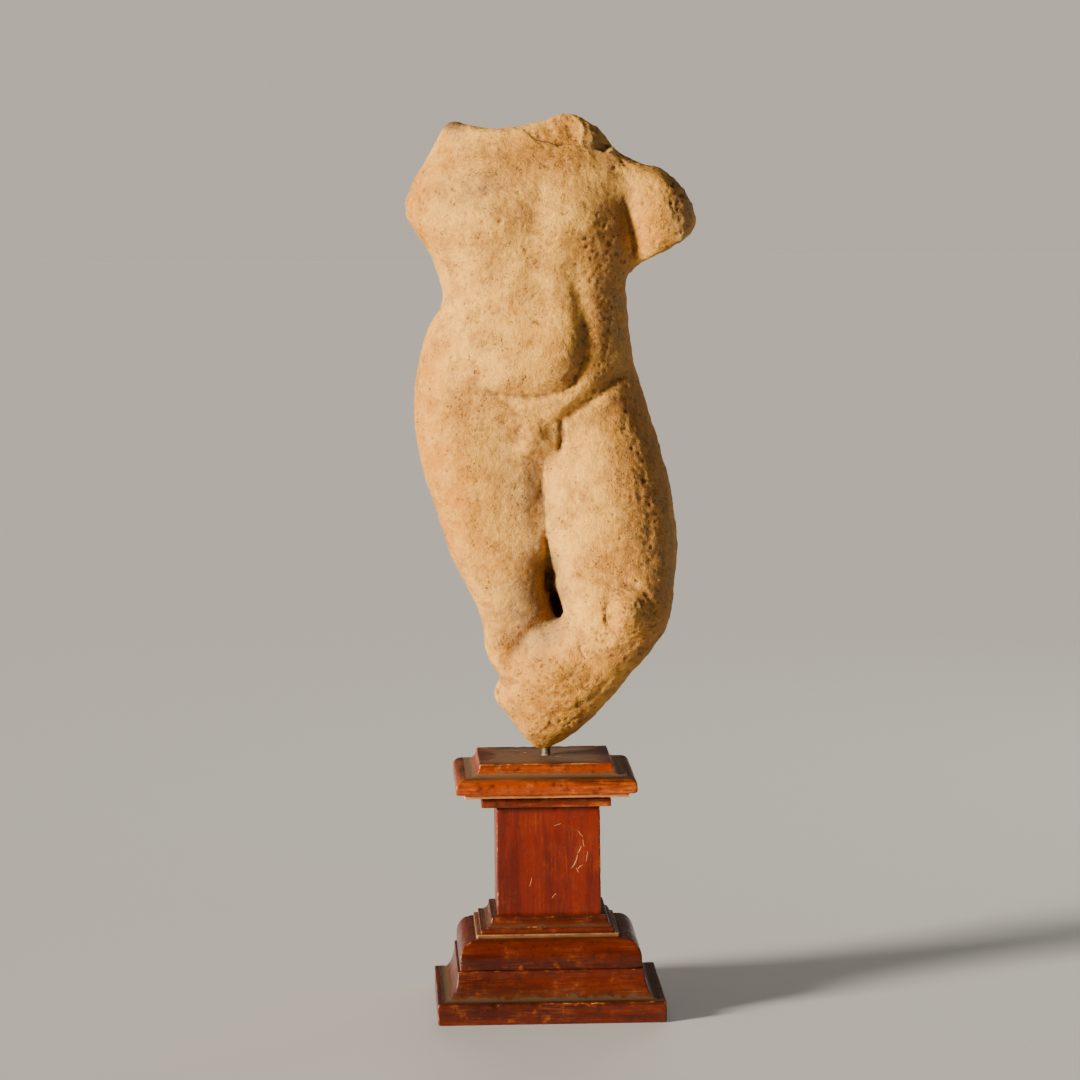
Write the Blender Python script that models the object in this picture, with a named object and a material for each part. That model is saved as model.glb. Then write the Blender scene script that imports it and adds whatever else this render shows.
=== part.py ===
"""Broken limestone torso with crossed legs, held up by a steel pin on a moulded wooden plinth.

Metres, +Z up, front towards -Y. The origin is the centre of the plinth's underside.
"""

import math

import bpy
import numpy as np

MM = 0.001

# Joints between pieces
SEAM = 0.3 * MM

# Plinth: the square boards and mouldings, from the floor up
SLAB_WIDTH = 150.0 * MM
SLAB_HEIGHT = 14.0 * MM
COVE_FOOT_WIDTH = 140.0 * MM
COVE_TOP_WIDTH = 123.0 * MM
COVE_HEIGHT = 19.2 * MM
OVOLO_WIDTH = 120.0 * MM
OVOLO_RETURN = 6.6 * MM
OVOLO_RUN = 11.6 * MM
OVOLO_HEIGHT = 18.8 * MM
LEDGE_WIDTH = 94.5 * MM
LEDGE_THICKNESS = 2.2 * MM
STEP_WIDTH = 88.5 * MM
STEP_THICKNESS = 2.8 * MM
FOOT_WIDTH = 83.4 * MM
FOOT_TOP_WIDTH = 77.0 * MM
FOOT_HEIGHT = 6.9 * MM
DIE_WIDTH = 68.6 * MM
DIE_HEIGHT = 73.0 * MM
NECK_WIDTH = 85.6 * MM
NECK_HEIGHT = 5.3 * MM
NECK_GROOVE_DEPTH = 2.6 * MM
NECK_GROOVE_HEIGHT = 2.1 * MM
STRIP_WIDTH = 108.4 * MM
STRIP_THICKNESS = 2.7 * MM
CAP_WIDTH = 119.2 * MM
CAP_EDGE = 4.6 * MM
CAP_ROUND = 5.6 * MM
CAP_SHELF = 3.6 * MM
CAP_COVE_HEIGHT = 8.0 * MM
CAP_TOP_WIDTH = 88.0 * MM
CAP_SHIFT = -1.5 * MM
ARRIS = 0.7 * MM
CURVE_STEPS = 6
CORNER_STEPS = 2

# Pin that holds the torso up
PIN_DIAMETER = 6.0 * MM
PIN_SHOWN = 5.3 * MM
PIN_IN_PLINTH = 14.0 * MM
PIN_IN_STONE = 26.0 * MM
PIN_CLEARANCE = 0.3 * MM
PIN_SIDES = 24

# Torso: the carving is set out in 420ths of its own height, so one unit is a millimetre at this size
FIGURE_HEIGHT = 420.0 * MM
UNIT = FIGURE_HEIGHT / 420.0
CLAY_GRAIN = 3.0 * UNIT
TORSO_TRIANGLES = 7000
SECTION_SIDES = 36

# Sections of the body, bottom to top: height, left, right, front, back
TRUNK = (
    (176, -66, 70, -26, 42),
    (190, -80, 80, -34, 50),
    (211, -84, 75, -38, 54),
    (236, -85, 67, -43, 50),
    (261, -81, 60, -46, 42),
    (281, -75, 58, -43, 37),
    (299, -64, 57, -41, 36),
    (321, -70, 60, -43, 40),
    (338, -78, 62, -46, 43),
    (356, -90, 64, -45, 45),
    (374, -87, 66, -40, 44),
    (391, -75, 62, -31, 39),
    (406, -67, 46, -22, 32),
    (426, -56, 34, -12, 24),
)
STANDING_LEG = (
    (18, -16, 22, -8, 22),
    (46, -31, 20, -20, 26),
    (66, -39, 12, -25, 28),
    (88, -42, 6, -30, 30),
    (111, -52, 1.5, -35, 32),
    (128, -61, 1.5, -38, 34),
    (140, -65, 16, -39, 37),
    (152, -69, 28, -40, 40),
    (166, -73, 30, -41, 42),
    (196, -82, 28, -40, 48),
    (226, -85, 14, -36, 50),
)
CROSSING_THIGH = (
    (65, 34, 62, -48, -6),
    (76, 25, 76, -58, 8),
    (88, 15, 82, -62, 20),
    (104, 9, 85, -60, 28),
    (124, 5, 87, -56, 34),
    (142, -2, 88, -53, 38),
    (176, -4, 84, -49, 44),
    (200, -1, 77, -44, 48),
    (226, 8, 67, -35, 50),
)
# Stone left standing between the legs, well back in the recess
WEB = (
    (70, -16, 26, 2, 22),
    (96, -20, 28, 3, 26),
    (124, -22, 26, 0, 28),
    (150, -22, 24, -8, 30),
)
UPPER_ARM = (
    (296, 66, 104, -24, 18),
    (318, 61, 107, -29, 23),
    (336, 57, 106, -32, 26),
    (351, 53, 103, -34, 28),
    (366, 47, 97, -33, 28),
    (378, 41, 88, -28, 26),
    (387, 36, 75, -20, 21),
    (394, 32, 54, -10, 13),
)
# The crossing shin is set out the same way along its own axis, from the broken end up to the knee
CROSSING_SHIN = (
    (-6, -24, 24, -14, 20),
    (8, -30, 29, -22, 24),
    (34, -34, 31, -27, 25),
    (62, -33, 28, -28, 25),
    (92, -28, 24, -25, 24),
    (112, -18, 18, -17, 18),
)
SHIN_FOOT = (-17, -8, 20)
SHIN_KNEE = (58, -33, 87)

# Breaks: a point on the fracture and the way its face looks
ARM_BREAK = ((84, 0, 333.5), (0.50, 0.06, -0.86))
SHOULDER_BREAKS = (
    ((-71.5, 0, 405), (-0.92, -0.15, 0.36)),
    ((-83.5, 0, 384), (-0.82, -0.14, 0.55)),
    ((-95, 0, 362), (-0.96, -0.26, 0.05)),
)
SHIN_BREAK = ((-24, 0, 18), (-0.80, -0.10, -0.59))
# Height of the neck's break across the shoulders, from left to right: across, height
NECK_BREAK = ((-90, 410), (-62, 416), (-50, 414.5), (-27, 410.5), (0, 415), (14, 420), (22, 420.5),
              (30, 415), (37, 413), (44, 405), (51, 396), (65, 389), (110, 380))
NECK_BREAK_FALL = 0.10

FRONT = np.array((0.0, -1.0, 0.0))
BACK = np.array((0.0, 1.0, 0.0))

# Soft forms: middle across, height, reach across, reach up, how far it stands out (negative: hollow)
FRONT_FORMS = (
    (-38, 357, 28, 24, 2.4),
    (26, 356, 27, 23, 2.6),
    (-6, 353, 8, 26, -0.9),
    (-6, 385, 40, 7, 1.2),
    (-6, 302, 40, 16, -1.0),
    (-5, 261, 34, 28, 5.0),
    (46, 280, 16, 34, -2.6),
    (0, 227, 34, 8, 1.2),
    (-46, 193, 26, 44, 2.0),
    (44, 172, 28, 44, 2.2),
    (54, 97, 15, 12, 6.0),
    (33, 88, 7, 12, -3.0),
    (58, 76, 16, 6, -3.0),
    (44, 116, 18, 6, -1.5),
    (4, 55, 16, 13, 3.4),
    (-26, 101, 13, 12, 1.6),
    (12, 407, 15, 6, -2.6),
)
BACK_FORMS = (
    (-42, 216, 27, 29, 7.0),
    (38, 212, 27, 29, 6.5),
    (-4, 292, 40, 16, -2.0),
    (-44, 356, 24, 26, 3.0),
    (32, 356, 24, 26, 3.0),
    (-40, 118, 20, 30, 1.6),
    (46, 124, 22, 26, 1.6),
)

# Grooves: width, depth and the line they follow, as across and height
FRONT_GROOVES = (
    (4.0, 4.6, ((19, 322), (22, 308), (25, 294), (27.5, 276), (26, 262), (21.5, 250), (14, 241), (1, 237.5), (-13, 237),
                (-30, 238.5), (-46, 246))),
    (4.0, 4.8, ((58, 253), (48, 247), (38, 240.5), (28, 233), (18, 225.5), (10, 220))),
    (5.0, 1.6, ((-50, 247), (-36, 237), (-24, 230), (-16, 222))),
    (3.2, 2.6, ((-1, 195), (-3, 181), (-4, 164), (-3, 146))),
    (4.2, 3.4, ((10, 91), (3, 87.5), (-8, 82), (-18, 74), (-25, 62), (-29, 50))),
    (4.2, 3.5, ((60, 374), (57, 360), (59, 346), (62, 332), (66, 318))),
    (5.0, 1.2, ((-6, 340), (-5, 318), (-4, 298), (-3, 288))),
    (8.0, 0.8, ((-62, 341), (-44, 335), (-22, 335), (-6, 342))),
    (8.0, 0.8, ((50, 341), (36, 334), (14, 335), (-4, 342))),
    (9.0, 0.8, ((-52, 304), (-34, 317), (-16, 326), (-5, 329), (8, 326), (26, 317), (42, 302))),
)
BACK_GROOVES = (
    (6.0, 4.0, ((-4, 398), (-6, 360), (-6, 320), (-4, 286), (-2, 252))),
    (5.0, 13.0, ((-2, 244), (-2, 220), (-1, 196), (0, 176), (1, 150), (3, 120), (6, 90))),
    (6.0, 5.0, ((-72, 176), (-48, 170), (-22, 174), (-2, 184))),
    (6.0, 5.0, ((72, 178), (48, 168), (22, 172), (2, 184))),
    (6.0, 4.0, ((66, 80), (44, 86), (24, 80))),
)
# Worn lumps at the groin, given the same way, with steep sides
GROIN_LUMPS = (
    (-5, 204.5, 12.0, 7.5, 7.0),
    (-8, 213.5, 7.5, 7.5, 5.0),
)
NAVEL = (-4, 285, 5.0, 4.6, -2.6)


def clear_scene():
    """Removes whatever the open file holds."""
    for thing in list(bpy.data.objects):
        bpy.data.objects.remove(thing, do_unlink=True)


def finish_of(name, colour, roughness, metallic=0.0):
    """A plain material of one colour."""
    material = bpy.data.materials.new(name)
    material.use_nodes = True
    shader = material.node_tree.nodes["Principled BSDF"]
    shader.inputs["Base Color"].default_value = (*colour, 1.0)
    shader.inputs["Roughness"].default_value = roughness
    shader.inputs["Metallic"].default_value = metallic
    return material


def new_object(name, points, faces, material):
    """A mesh object from points in metres and faces by index."""
    mesh = bpy.data.meshes.new(name)
    mesh.from_pydata([tuple(p) for p in points], [], faces)
    mesh.materials.append(material)
    thing = bpy.data.objects.new(name, mesh)
    bpy.context.scene.collection.objects.link(thing)
    return thing


def through(points, steps):
    """A smooth line through the given points, with so many steps between neighbours."""
    p = np.array(points, float)
    padded = np.vstack((2 * p[0] - p[1], p, 2 * p[-1] - p[-2]))
    line = []
    for i in range(len(p) - 1):
        a, b, c, d = padded[i:i + 4]
        for t in np.arange(steps) / steps:
            line.append(0.5 * (2 * b + (c - a) * t + (2 * a - 5 * b + 4 * c - d) * t ** 2
                               + (3 * b - a - 3 * c + d) * t ** 3))
    line.append(p[-1])
    return np.array(line)


# The plinth


def square_ring(width, height):
    """The corners of one level of a square board, with its upright arrises rounded off."""
    half = width / 2
    radius = min(ARRIS, half / 2)
    ring = []
    for quarter in range(4):
        middle = math.radians(45 + 90 * quarter)
        cx = (half - radius) * math.copysign(1, math.cos(middle))
        cy = (half - radius) * math.copysign(1, math.sin(middle))
        for step in range(CORNER_STEPS + 1):
            angle = math.radians(90 * quarter + 90 * step / CORNER_STEPS)
            ring.append((cx + radius * math.cos(angle), cy + radius * math.sin(angle), height))
    return ring


def board(name, profile, foot, material, shift=0.0):
    """A square board whose edge follows a profile of (width, height above its foot) pairs."""
    rings = [square_ring(width, height) for width, height in profile]
    around = len(rings[0])
    points = [p for ring in rings for p in ring]
    faces = []
    for level in range(len(rings) - 1):
        for i in range(around):
            j = (i + 1) % around
            low, high = level * around, (level + 1) * around
            faces.append((low + i, low + j, high + j, high + i))
    faces.append(tuple(reversed(range(around))))
    faces.append(tuple(range((len(rings) - 1) * around, len(points))))
    thing = new_object(name, points, faces, material)
    thing.location = (shift, 0.0, foot)
    thing.data.shade_smooth()
    thing.data.set_sharp_from_angle(angle=math.radians(32))
    return thing


def plain_profile(width, height):
    """A flat-sided board with its upper and lower arrises eased."""
    eased = width - 2 * ARRIS
    return [(eased, 0), (width, ARRIS), (width, height - ARRIS), (eased, height)]


def hollow_profile(wide, narrow, low, high):
    """A cove: a quarter hollow from a wide foot to a narrow top."""
    steps = [math.pi / 2 * i / CURVE_STEPS for i in range(CURVE_STEPS + 1)]
    return [(wide - (wide - narrow) * math.sin(a), low + (high - low) * (1 - math.cos(a))) for a in steps]


def round_profile(wide, narrow, low, high):
    """An ovolo: a quarter round from a wide foot in to a narrow top."""
    steps = [math.pi / 2 * i / CURVE_STEPS for i in range(CURVE_STEPS + 1)]
    return [(wide - (wide - narrow) * (1 - math.cos(a)), low + (high - low) * math.sin(a)) for a in steps]


def make_plinth(wood, pale_wood):
    """The plinth's nine boards, stacked with a seam between each. Returns the height of its top."""
    stack = (
        ("plinth_slab", plain_profile(SLAB_WIDTH, SLAB_HEIGHT), wood, 0),
        ("plinth_cove", hollow_profile(COVE_FOOT_WIDTH, COVE_TOP_WIDTH, 0, COVE_HEIGHT - ARRIS)
         + [(COVE_TOP_WIDTH, COVE_HEIGHT)], wood, 0),
        ("plinth_ovolo", [(OVOLO_WIDTH, 0)]
         + round_profile(OVOLO_WIDTH, OVOLO_WIDTH - 2 * OVOLO_RUN, OVOLO_RETURN, OVOLO_HEIGHT), wood, 0),
        ("plinth_ledge", plain_profile(LEDGE_WIDTH, LEDGE_THICKNESS), pale_wood, CAP_SHIFT),
        ("plinth_step", plain_profile(STEP_WIDTH, STEP_THICKNESS), wood, CAP_SHIFT),
        ("plinth_foot_moulding", hollow_profile(FOOT_WIDTH, FOOT_TOP_WIDTH, 0, FOOT_HEIGHT - ARRIS)
         + [(FOOT_TOP_WIDTH, FOOT_HEIGHT)], wood, 0),
        ("plinth_die", plain_profile(DIE_WIDTH, DIE_HEIGHT), wood, 0),
        ("plinth_neck_moulding", plain_profile(NECK_WIDTH, NECK_HEIGHT)
         + [(NECK_WIDTH - 2 * NECK_GROOVE_DEPTH, NECK_HEIGHT),
            (NECK_WIDTH - 2 * NECK_GROOVE_DEPTH, NECK_HEIGHT + NECK_GROOVE_HEIGHT)], wood, CAP_SHIFT),
        ("plinth_strip", plain_profile(STRIP_WIDTH, STRIP_THICKNESS), pale_wood, CAP_SHIFT),
        ("plinth_cap", cap_profile(), wood, CAP_SHIFT),
    )
    height = 0.0
    for name, profile, material, shift in stack:
        made = board(name, profile, height, material, shift)
        height += profile[-1][1] + SEAM
    drill(made, pin_cutter(height - SEAM - PIN_IN_PLINTH - PIN_CLEARANCE, height + SEAM))
    return height - SEAM


def cap_profile():
    """The cap: an eased edge, a quarter round, a narrow shelf and a cove up to the flat top."""
    shelf_width = CAP_TOP_WIDTH + 2 * (CAP_COVE_HEIGHT - ARRIS) * 0.8
    round_top = CAP_EDGE + CAP_ROUND
    cap_height = round_top + CAP_COVE_HEIGHT
    return ([(CAP_WIDTH - 2 * ARRIS, 0), (CAP_WIDTH, ARRIS)]
            + round_profile(CAP_WIDTH, shelf_width + 2 * CAP_SHELF, CAP_EDGE, round_top)
            + hollow_profile(shelf_width, CAP_TOP_WIDTH, round_top, cap_height - ARRIS)
            + [(CAP_TOP_WIDTH - ARRIS, cap_height)])


# The pin and its holes


def rod(name, diameter, low, high, material=None):
    """An upright round rod on the plinth's axis."""
    bpy.ops.mesh.primitive_cylinder_add(vertices=PIN_SIDES, radius=diameter / 2, depth=high - low,
                                        location=(0, 0, (low + high) / 2))
    made = bpy.context.object
    made.name = name
    if material:
        made.data.materials.append(material)
    return made


def pin_cutter(low, high):
    """The hole that the pin goes through, between two heights."""
    cutter = rod("pin_hole", PIN_DIAMETER + 2 * PIN_CLEARANCE, low, high)
    cutter.hide_render = True
    cutter.display_type = "WIRE"
    return cutter


def drill(thing, cutter):
    """Takes the cutter out of a piece."""
    hole = thing.modifiers.new("drilled for the pin", "BOOLEAN")
    hole.operation = "DIFFERENCE"
    hole.object = cutter


# The torso


def section_loft(name, sections, exponent):
    """A closed form through level sections, each a squared-off ellipse."""
    levels = through(sections, 3)
    points, faces = [], []
    for height, left, right, front, back in levels:
        for i in range(SECTION_SIDES):
            angle = 2 * math.pi * i / SECTION_SIDES
            across, along = math.cos(angle), math.sin(angle)
            x = (left + right) / 2 + (right - left) / 2 * math.copysign(abs(across) ** (2 / exponent), across)
            y = (front + back) / 2 + (back - front) / 2 * math.copysign(abs(along) ** (2 / exponent), along)
            points.append((x * UNIT, y * UNIT, height * UNIT))
    for level in range(len(levels) - 1):
        for i in range(SECTION_SIDES):
            j = (i + 1) % SECTION_SIDES
            low, high = level * SECTION_SIDES, (level + 1) * SECTION_SIDES
            faces.append((low + i, low + j, high + j, high + i))
    faces.append(tuple(reversed(range(SECTION_SIDES))))
    faces.append(tuple(range((len(levels) - 1) * SECTION_SIDES, len(points))))
    mesh = bpy.data.meshes.new(name)
    mesh.from_pydata(points, [], faces)
    thing = bpy.data.objects.new(name, mesh)
    bpy.context.scene.collection.objects.link(thing)
    return thing


def lay_along(thing, foot, head):
    """Turns a form from upright so that it runs from foot to head, with its front kept forward."""
    rise = np.array(head, float) - np.array(foot, float)
    up = rise / np.linalg.norm(rise)
    across = np.cross(-FRONT, up)
    across /= np.linalg.norm(across)
    forward = np.cross(up, across)
    p = vertices_of(thing.data)
    turned = np.outer(p[:, 0], across) + np.outer(p[:, 1], forward) + np.outer(p[:, 2], up)
    set_vertices(thing.data, turned + np.array(foot) * UNIT)


def vertices_of(mesh):
    """The mesh's points as an array."""
    flat = np.empty(len(mesh.vertices) * 3)
    mesh.vertices.foreach_get("co", flat)
    return flat.reshape(-1, 3)


def normals_of(mesh):
    """The mesh's point normals as an array."""
    flat = np.empty(len(mesh.vertices) * 3)
    mesh.vertices.foreach_get("normal", flat)
    return flat.reshape(-1, 3)


def set_vertices(mesh, points):
    """Moves the mesh's points."""
    mesh.vertices.foreach_set("co", points.ravel())
    mesh.update()


def bake(thing):
    """Replaces an object's mesh by what its modifiers make of it."""
    seen = thing.evaluated_get(bpy.context.evaluated_depsgraph_get())
    mesh = bpy.data.meshes.new_from_object(seen)
    thing.modifiers.clear()
    thing.data = mesh


def knead(thing, grain, smoothing):
    """Melts overlapping forms into one skin of an even grain, and smooths it."""
    remesh = thing.modifiers.new("one skin", "REMESH")
    remesh.mode = "VOXEL"
    remesh.voxel_size = grain
    soften = thing.modifiers.new("soften", "SMOOTH")
    soften.factor = 0.5
    soften.iterations = smoothing
    bake(thing)


def facing_weight(normals, way):
    """1 where the surface looks the given way, falling to 0 on its far side."""
    return np.clip(normals @ way * 1.4, 0, 1)


def press_form(points, normals, form, way):
    """Raises or hollows a soft oval on the side of the body that looks the given way."""
    across, height, reach_across, reach_up, out = form
    distance = np.hypot((points[:, 0] / UNIT - across) / reach_across,
                        (points[:, 2] / UNIT - height) / reach_up)
    weight = np.exp(-(distance ** 2) * 1.2) * facing_weight(normals, way)
    return points + np.outer(weight * out * UNIT, way)


def press_lump(points, normals, form, way):
    """The same with steep sides, like half an egg laid on the surface."""
    across, height, reach_across, reach_up, out = form
    distance = np.hypot((points[:, 0] / UNIT - across) / reach_across,
                        (points[:, 2] / UNIT - height) / reach_up)
    weight = np.sqrt(np.clip(1 - distance ** 2, 0, 1)) * facing_weight(normals, way)
    return points + np.outer(weight * out * UNIT, way)


def press_groove(points, normals, groove, way):
    """Cuts a groove that follows a line and dies away at both of its ends."""
    width, depth, line = groove
    path = through(line, 6)
    gap = points[:, None, (0, 2)] / UNIT - path[None, :, :]
    distance = np.hypot(gap[:, :, 0], gap[:, :, 1])
    nearest = distance.argmin(axis=1)
    share = nearest / (len(path) - 1)
    fade = np.clip(np.sin(math.pi * np.clip(share, 0.04, 0.96)) * 2.2, 0, 1)
    weight = np.exp(-((distance.min(axis=1) / width) ** 2)) * fade * facing_weight(normals, way)
    return points - np.outer(weight * depth * UNIT, way)


def break_off(thing, break_at):
    """Brings what stands beyond a fracture back to its face."""
    spot, look = break_at
    look = np.array(look) / np.linalg.norm(look)
    points = vertices_of(thing.data)
    beyond = np.clip((points - np.array(spot) * UNIT) @ look, 0, None)
    set_vertices(thing.data, points - np.outer(beyond, look))


def break_neck(points):
    """Lowers the top of the shoulders to the neck's break, which falls a little towards the back."""
    line = through(NECK_BREAK, 4)
    top = np.interp(points[:, 0] / UNIT, line[:, 0], line[:, 1])
    top = (top - NECK_BREAK_FALL * np.clip(points[:, 1] / UNIT, 0, None)) * UNIT
    points = points.copy()
    points[:, 2] = np.minimum(points[:, 2], top)
    return points


def make_torso(stone, foot):
    """The torso, with its lowest point at the given height."""
    body = section_loft("torso", TRUNK, 2.5)
    arm = section_loft("upper arm", UPPER_ARM, 2.8)
    shin = section_loft("crossing shin", CROSSING_SHIN, 2.3)
    lay_along(shin, SHIN_FOOT, SHIN_KNEE)
    for shoulder_break in SHOULDER_BREAKS:
        break_off(body, shoulder_break)
    break_off(arm, ARM_BREAK)
    break_off(shin, SHIN_BREAK)
    bpy.ops.object.select_all(action="DESELECT")
    for thing in (
        arm,
        shin,
        section_loft("standing leg", STANDING_LEG, 3.4),
        section_loft("crossing thigh", CROSSING_THIGH, 2.6),
        section_loft("web", WEB, 2.3),
    ):
        thing.select_set(True)
    body.select_set(True)
    bpy.context.view_layer.objects.active = body
    bpy.ops.object.join()
    knead(body, CLAY_GRAIN, 4)

    set_vertices(body.data, break_neck(vertices_of(body.data)))
    knead(body, CLAY_GRAIN, 2)

    points, normals = vertices_of(body.data), normals_of(body.data)
    for form in FRONT_FORMS:
        points = press_form(points, normals, form, FRONT)
    for lump in GROIN_LUMPS:
        points = press_lump(points, normals, lump, FRONT)
    for form in BACK_FORMS:
        points = press_form(points, normals, form, BACK)
    for groove in FRONT_GROOVES:
        points = press_groove(points, normals, groove, FRONT)
    for groove in BACK_GROOVES:
        points = press_groove(points, normals, groove, BACK)
    points = press_form(points, normals, NAVEL, FRONT)
    points[:, 2] -= points[:, 2].min()
    set_vertices(body.data, points)
    knead(body, CLAY_GRAIN, 1)

    fewer = body.modifiers.new("fewer faces", "DECIMATE")
    fewer.ratio = TORSO_TRIANGLES / (2 * len(body.data.polygons))
    bake(body)
    body.data.materials.clear()
    body.data.materials.append(stone)
    body.data.shade_smooth()
    body.location = (0, 0, foot)
    return body


def main():
    """Builds every piece."""
    clear_scene()
    stone = finish_of("limestone", (0.72, 0.53, 0.33), 0.9)
    wood = finish_of("stained wood", (0.30, 0.09, 0.03), 0.4)
    pale_wood = finish_of("worn wood edge", (0.46, 0.22, 0.10), 0.5)
    steel = finish_of("steel", (0.45, 0.42, 0.38), 0.45, 1.0)
    plinth_top = make_plinth(wood, pale_wood)
    torso = make_torso(stone, plinth_top + PIN_SHOWN)
    stone_hole_top = plinth_top + PIN_SHOWN + PIN_IN_STONE + PIN_CLEARANCE
    drill(torso, pin_cutter(plinth_top, stone_hole_top))
    pin = rod("mounting_pin", PIN_DIAMETER, plinth_top - PIN_IN_PLINTH,
              plinth_top + PIN_SHOWN + PIN_IN_STONE, steel)
    pin.data.shade_smooth()
    pin.data.set_sharp_from_angle(angle=math.radians(40))


main()
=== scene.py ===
"""A broken limestone torso on a steel pin above its moulded wooden plinth.

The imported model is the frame. The carving is finished on a copy of the stone's own solid, and the pin
and every board of the plinth are modelled afresh in the place of their nodes. Metres, front towards -Y.
"""

import math

import bpy
import numpy as np
from mathutils import Matrix, Vector, kdtree


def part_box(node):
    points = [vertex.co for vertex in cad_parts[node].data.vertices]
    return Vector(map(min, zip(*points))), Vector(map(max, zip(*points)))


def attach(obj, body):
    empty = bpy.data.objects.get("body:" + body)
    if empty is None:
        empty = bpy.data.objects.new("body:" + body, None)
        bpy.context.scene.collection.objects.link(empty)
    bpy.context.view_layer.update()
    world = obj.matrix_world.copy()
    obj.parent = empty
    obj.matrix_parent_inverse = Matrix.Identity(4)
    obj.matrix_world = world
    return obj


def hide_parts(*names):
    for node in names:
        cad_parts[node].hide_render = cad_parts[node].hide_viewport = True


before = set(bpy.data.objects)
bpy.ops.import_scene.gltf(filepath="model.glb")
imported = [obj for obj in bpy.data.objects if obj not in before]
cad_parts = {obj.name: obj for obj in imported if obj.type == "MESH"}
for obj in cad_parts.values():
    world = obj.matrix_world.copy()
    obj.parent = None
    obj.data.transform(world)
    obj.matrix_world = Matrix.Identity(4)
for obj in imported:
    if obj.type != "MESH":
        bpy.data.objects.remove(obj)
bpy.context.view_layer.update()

MM = 0.001

# Stone: how finely it is carved, and how many triangles the finished mesh may have
STONE_GRAIN = 1.1 * MM
STONE_TRIANGLES = 190000
STONE_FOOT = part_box("torso")[0][2]

# Directions
FRONT = np.array((0.0, -1.0, 0.0))
BACK = np.array((0.0, 1.0, 0.0))
RIGHT = np.array((1.0, 0.0, 0.0))
LEFT = np.array((-1.0, 0.0, 0.0))
UP = np.array((0.0, 0.0, 1.0))

# Carving, in millimetres across and above the stone's lowest point.
# Soft forms: middle across, height, reach across, reach up, how far it stands out (negative: hollow)
FRONT_FORMS = (
    (-30, 350, 19, 16, 1.6),
    (22, 348, 18, 15, 1.6),
    (-4, 352, 5, 22, -0.7),
    (47, 366, 10, 16, -1.2),
    (-6, 318, 12, 26, -0.8),
    (11, 268, 14, 24, 2.3),
    (-22, 262, 20, 20, 1.0),
    (32, 284, 7, 12, -0.9),
    (34, 266, 8, 14, -1.1),
    (30, 250, 7, 8, -0.7),
    (-2, 231, 26, 5, 0.7),
    (12, 224, 12, 4, 0.7),
    (26, 205, 14, 22, 1.0),
    (-3, 176, 10, 38, -2.9),
    (10, 172, 7, 36, 2.2),
    (-8, 112, 9, 16, -1.4),
    (-28, 182, 13, 26, -0.8),
    (-34, 132, 14, 16, 0.9),
    (54, 97, 12, 11, 2.6),
    (40, 91, 4, 12, -1.7),
    (48, 113, 13, 5, -1.6),
    (34, 76, 9, 8, 0.9),
    (2, 62, 14, 11, 1.6),
    (-16, 70, 7, 5, -0.8),
    (24, 62, 7, 10, -0.9),
    (14, 38, 14, 8, 0.8),
    (-28, 404, 20, 3.5, -1.4),
)
# Seen from the left: front to back, height
LEFT_FORMS = (
    (-8, 48, 24, 5, -2.2),
)
# Seen from the right in the same way, and from above: across, front to back
RIGHT_FORMS = (
    (-5, 54, 40, 9, -3.2),
)
TOP_FORMS = (
    (70, 0, 12, 40, -1.6),
)
BACK_FORMS = (
    (-42, 372, 16, 10, 1.2),
    (32, 370, 16, 10, 1.2),
    (-24, 262, 10, 8, -1.2),
    (14, 262, 10, 8, -1.2),
)

# Deep cuts, made before the last fine grain: width, depth and the line each follows
DEEP_CUTS = (
    (2.2, 7.0, ((0.4, 146), (1.0, 138), (2.6, 126), (3.2, 111), (6.5, 99), (10, 92))),
    (3.8, 6.5, ((1.0, 122), (2.0, 110), (5.0, 99), (8.0, 93.5), (9.5, 90))),
    (3.0, 5.5, ((-0.5, 113), (0.8, 104), (3.0, 97.5), (7.0, 93))),
    (1.7, 3.4, ((11.2, 222), (11.6, 214), (11.2, 206), (8.8, 199))),
    (2.0, 3.2, ((54.6, 362), (57.6, 349), (60, 337), (61.2, 327))),
    (4.0, 0.9, ((25.5, 288), (27.2, 280), (28, 270), (26, 260), (21.5, 249), (15, 242))),
    (2.6, 1.5, ((56, 250.5), (50, 246), (41, 239.6), (31.7, 233.3), (21.8, 226.7), (10.5, 219.6))),
    (3.4, 0.8, ((14, 93.7), (3.7, 87.6), (-9.5, 80.6), (-16, 75))),
)

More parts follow.
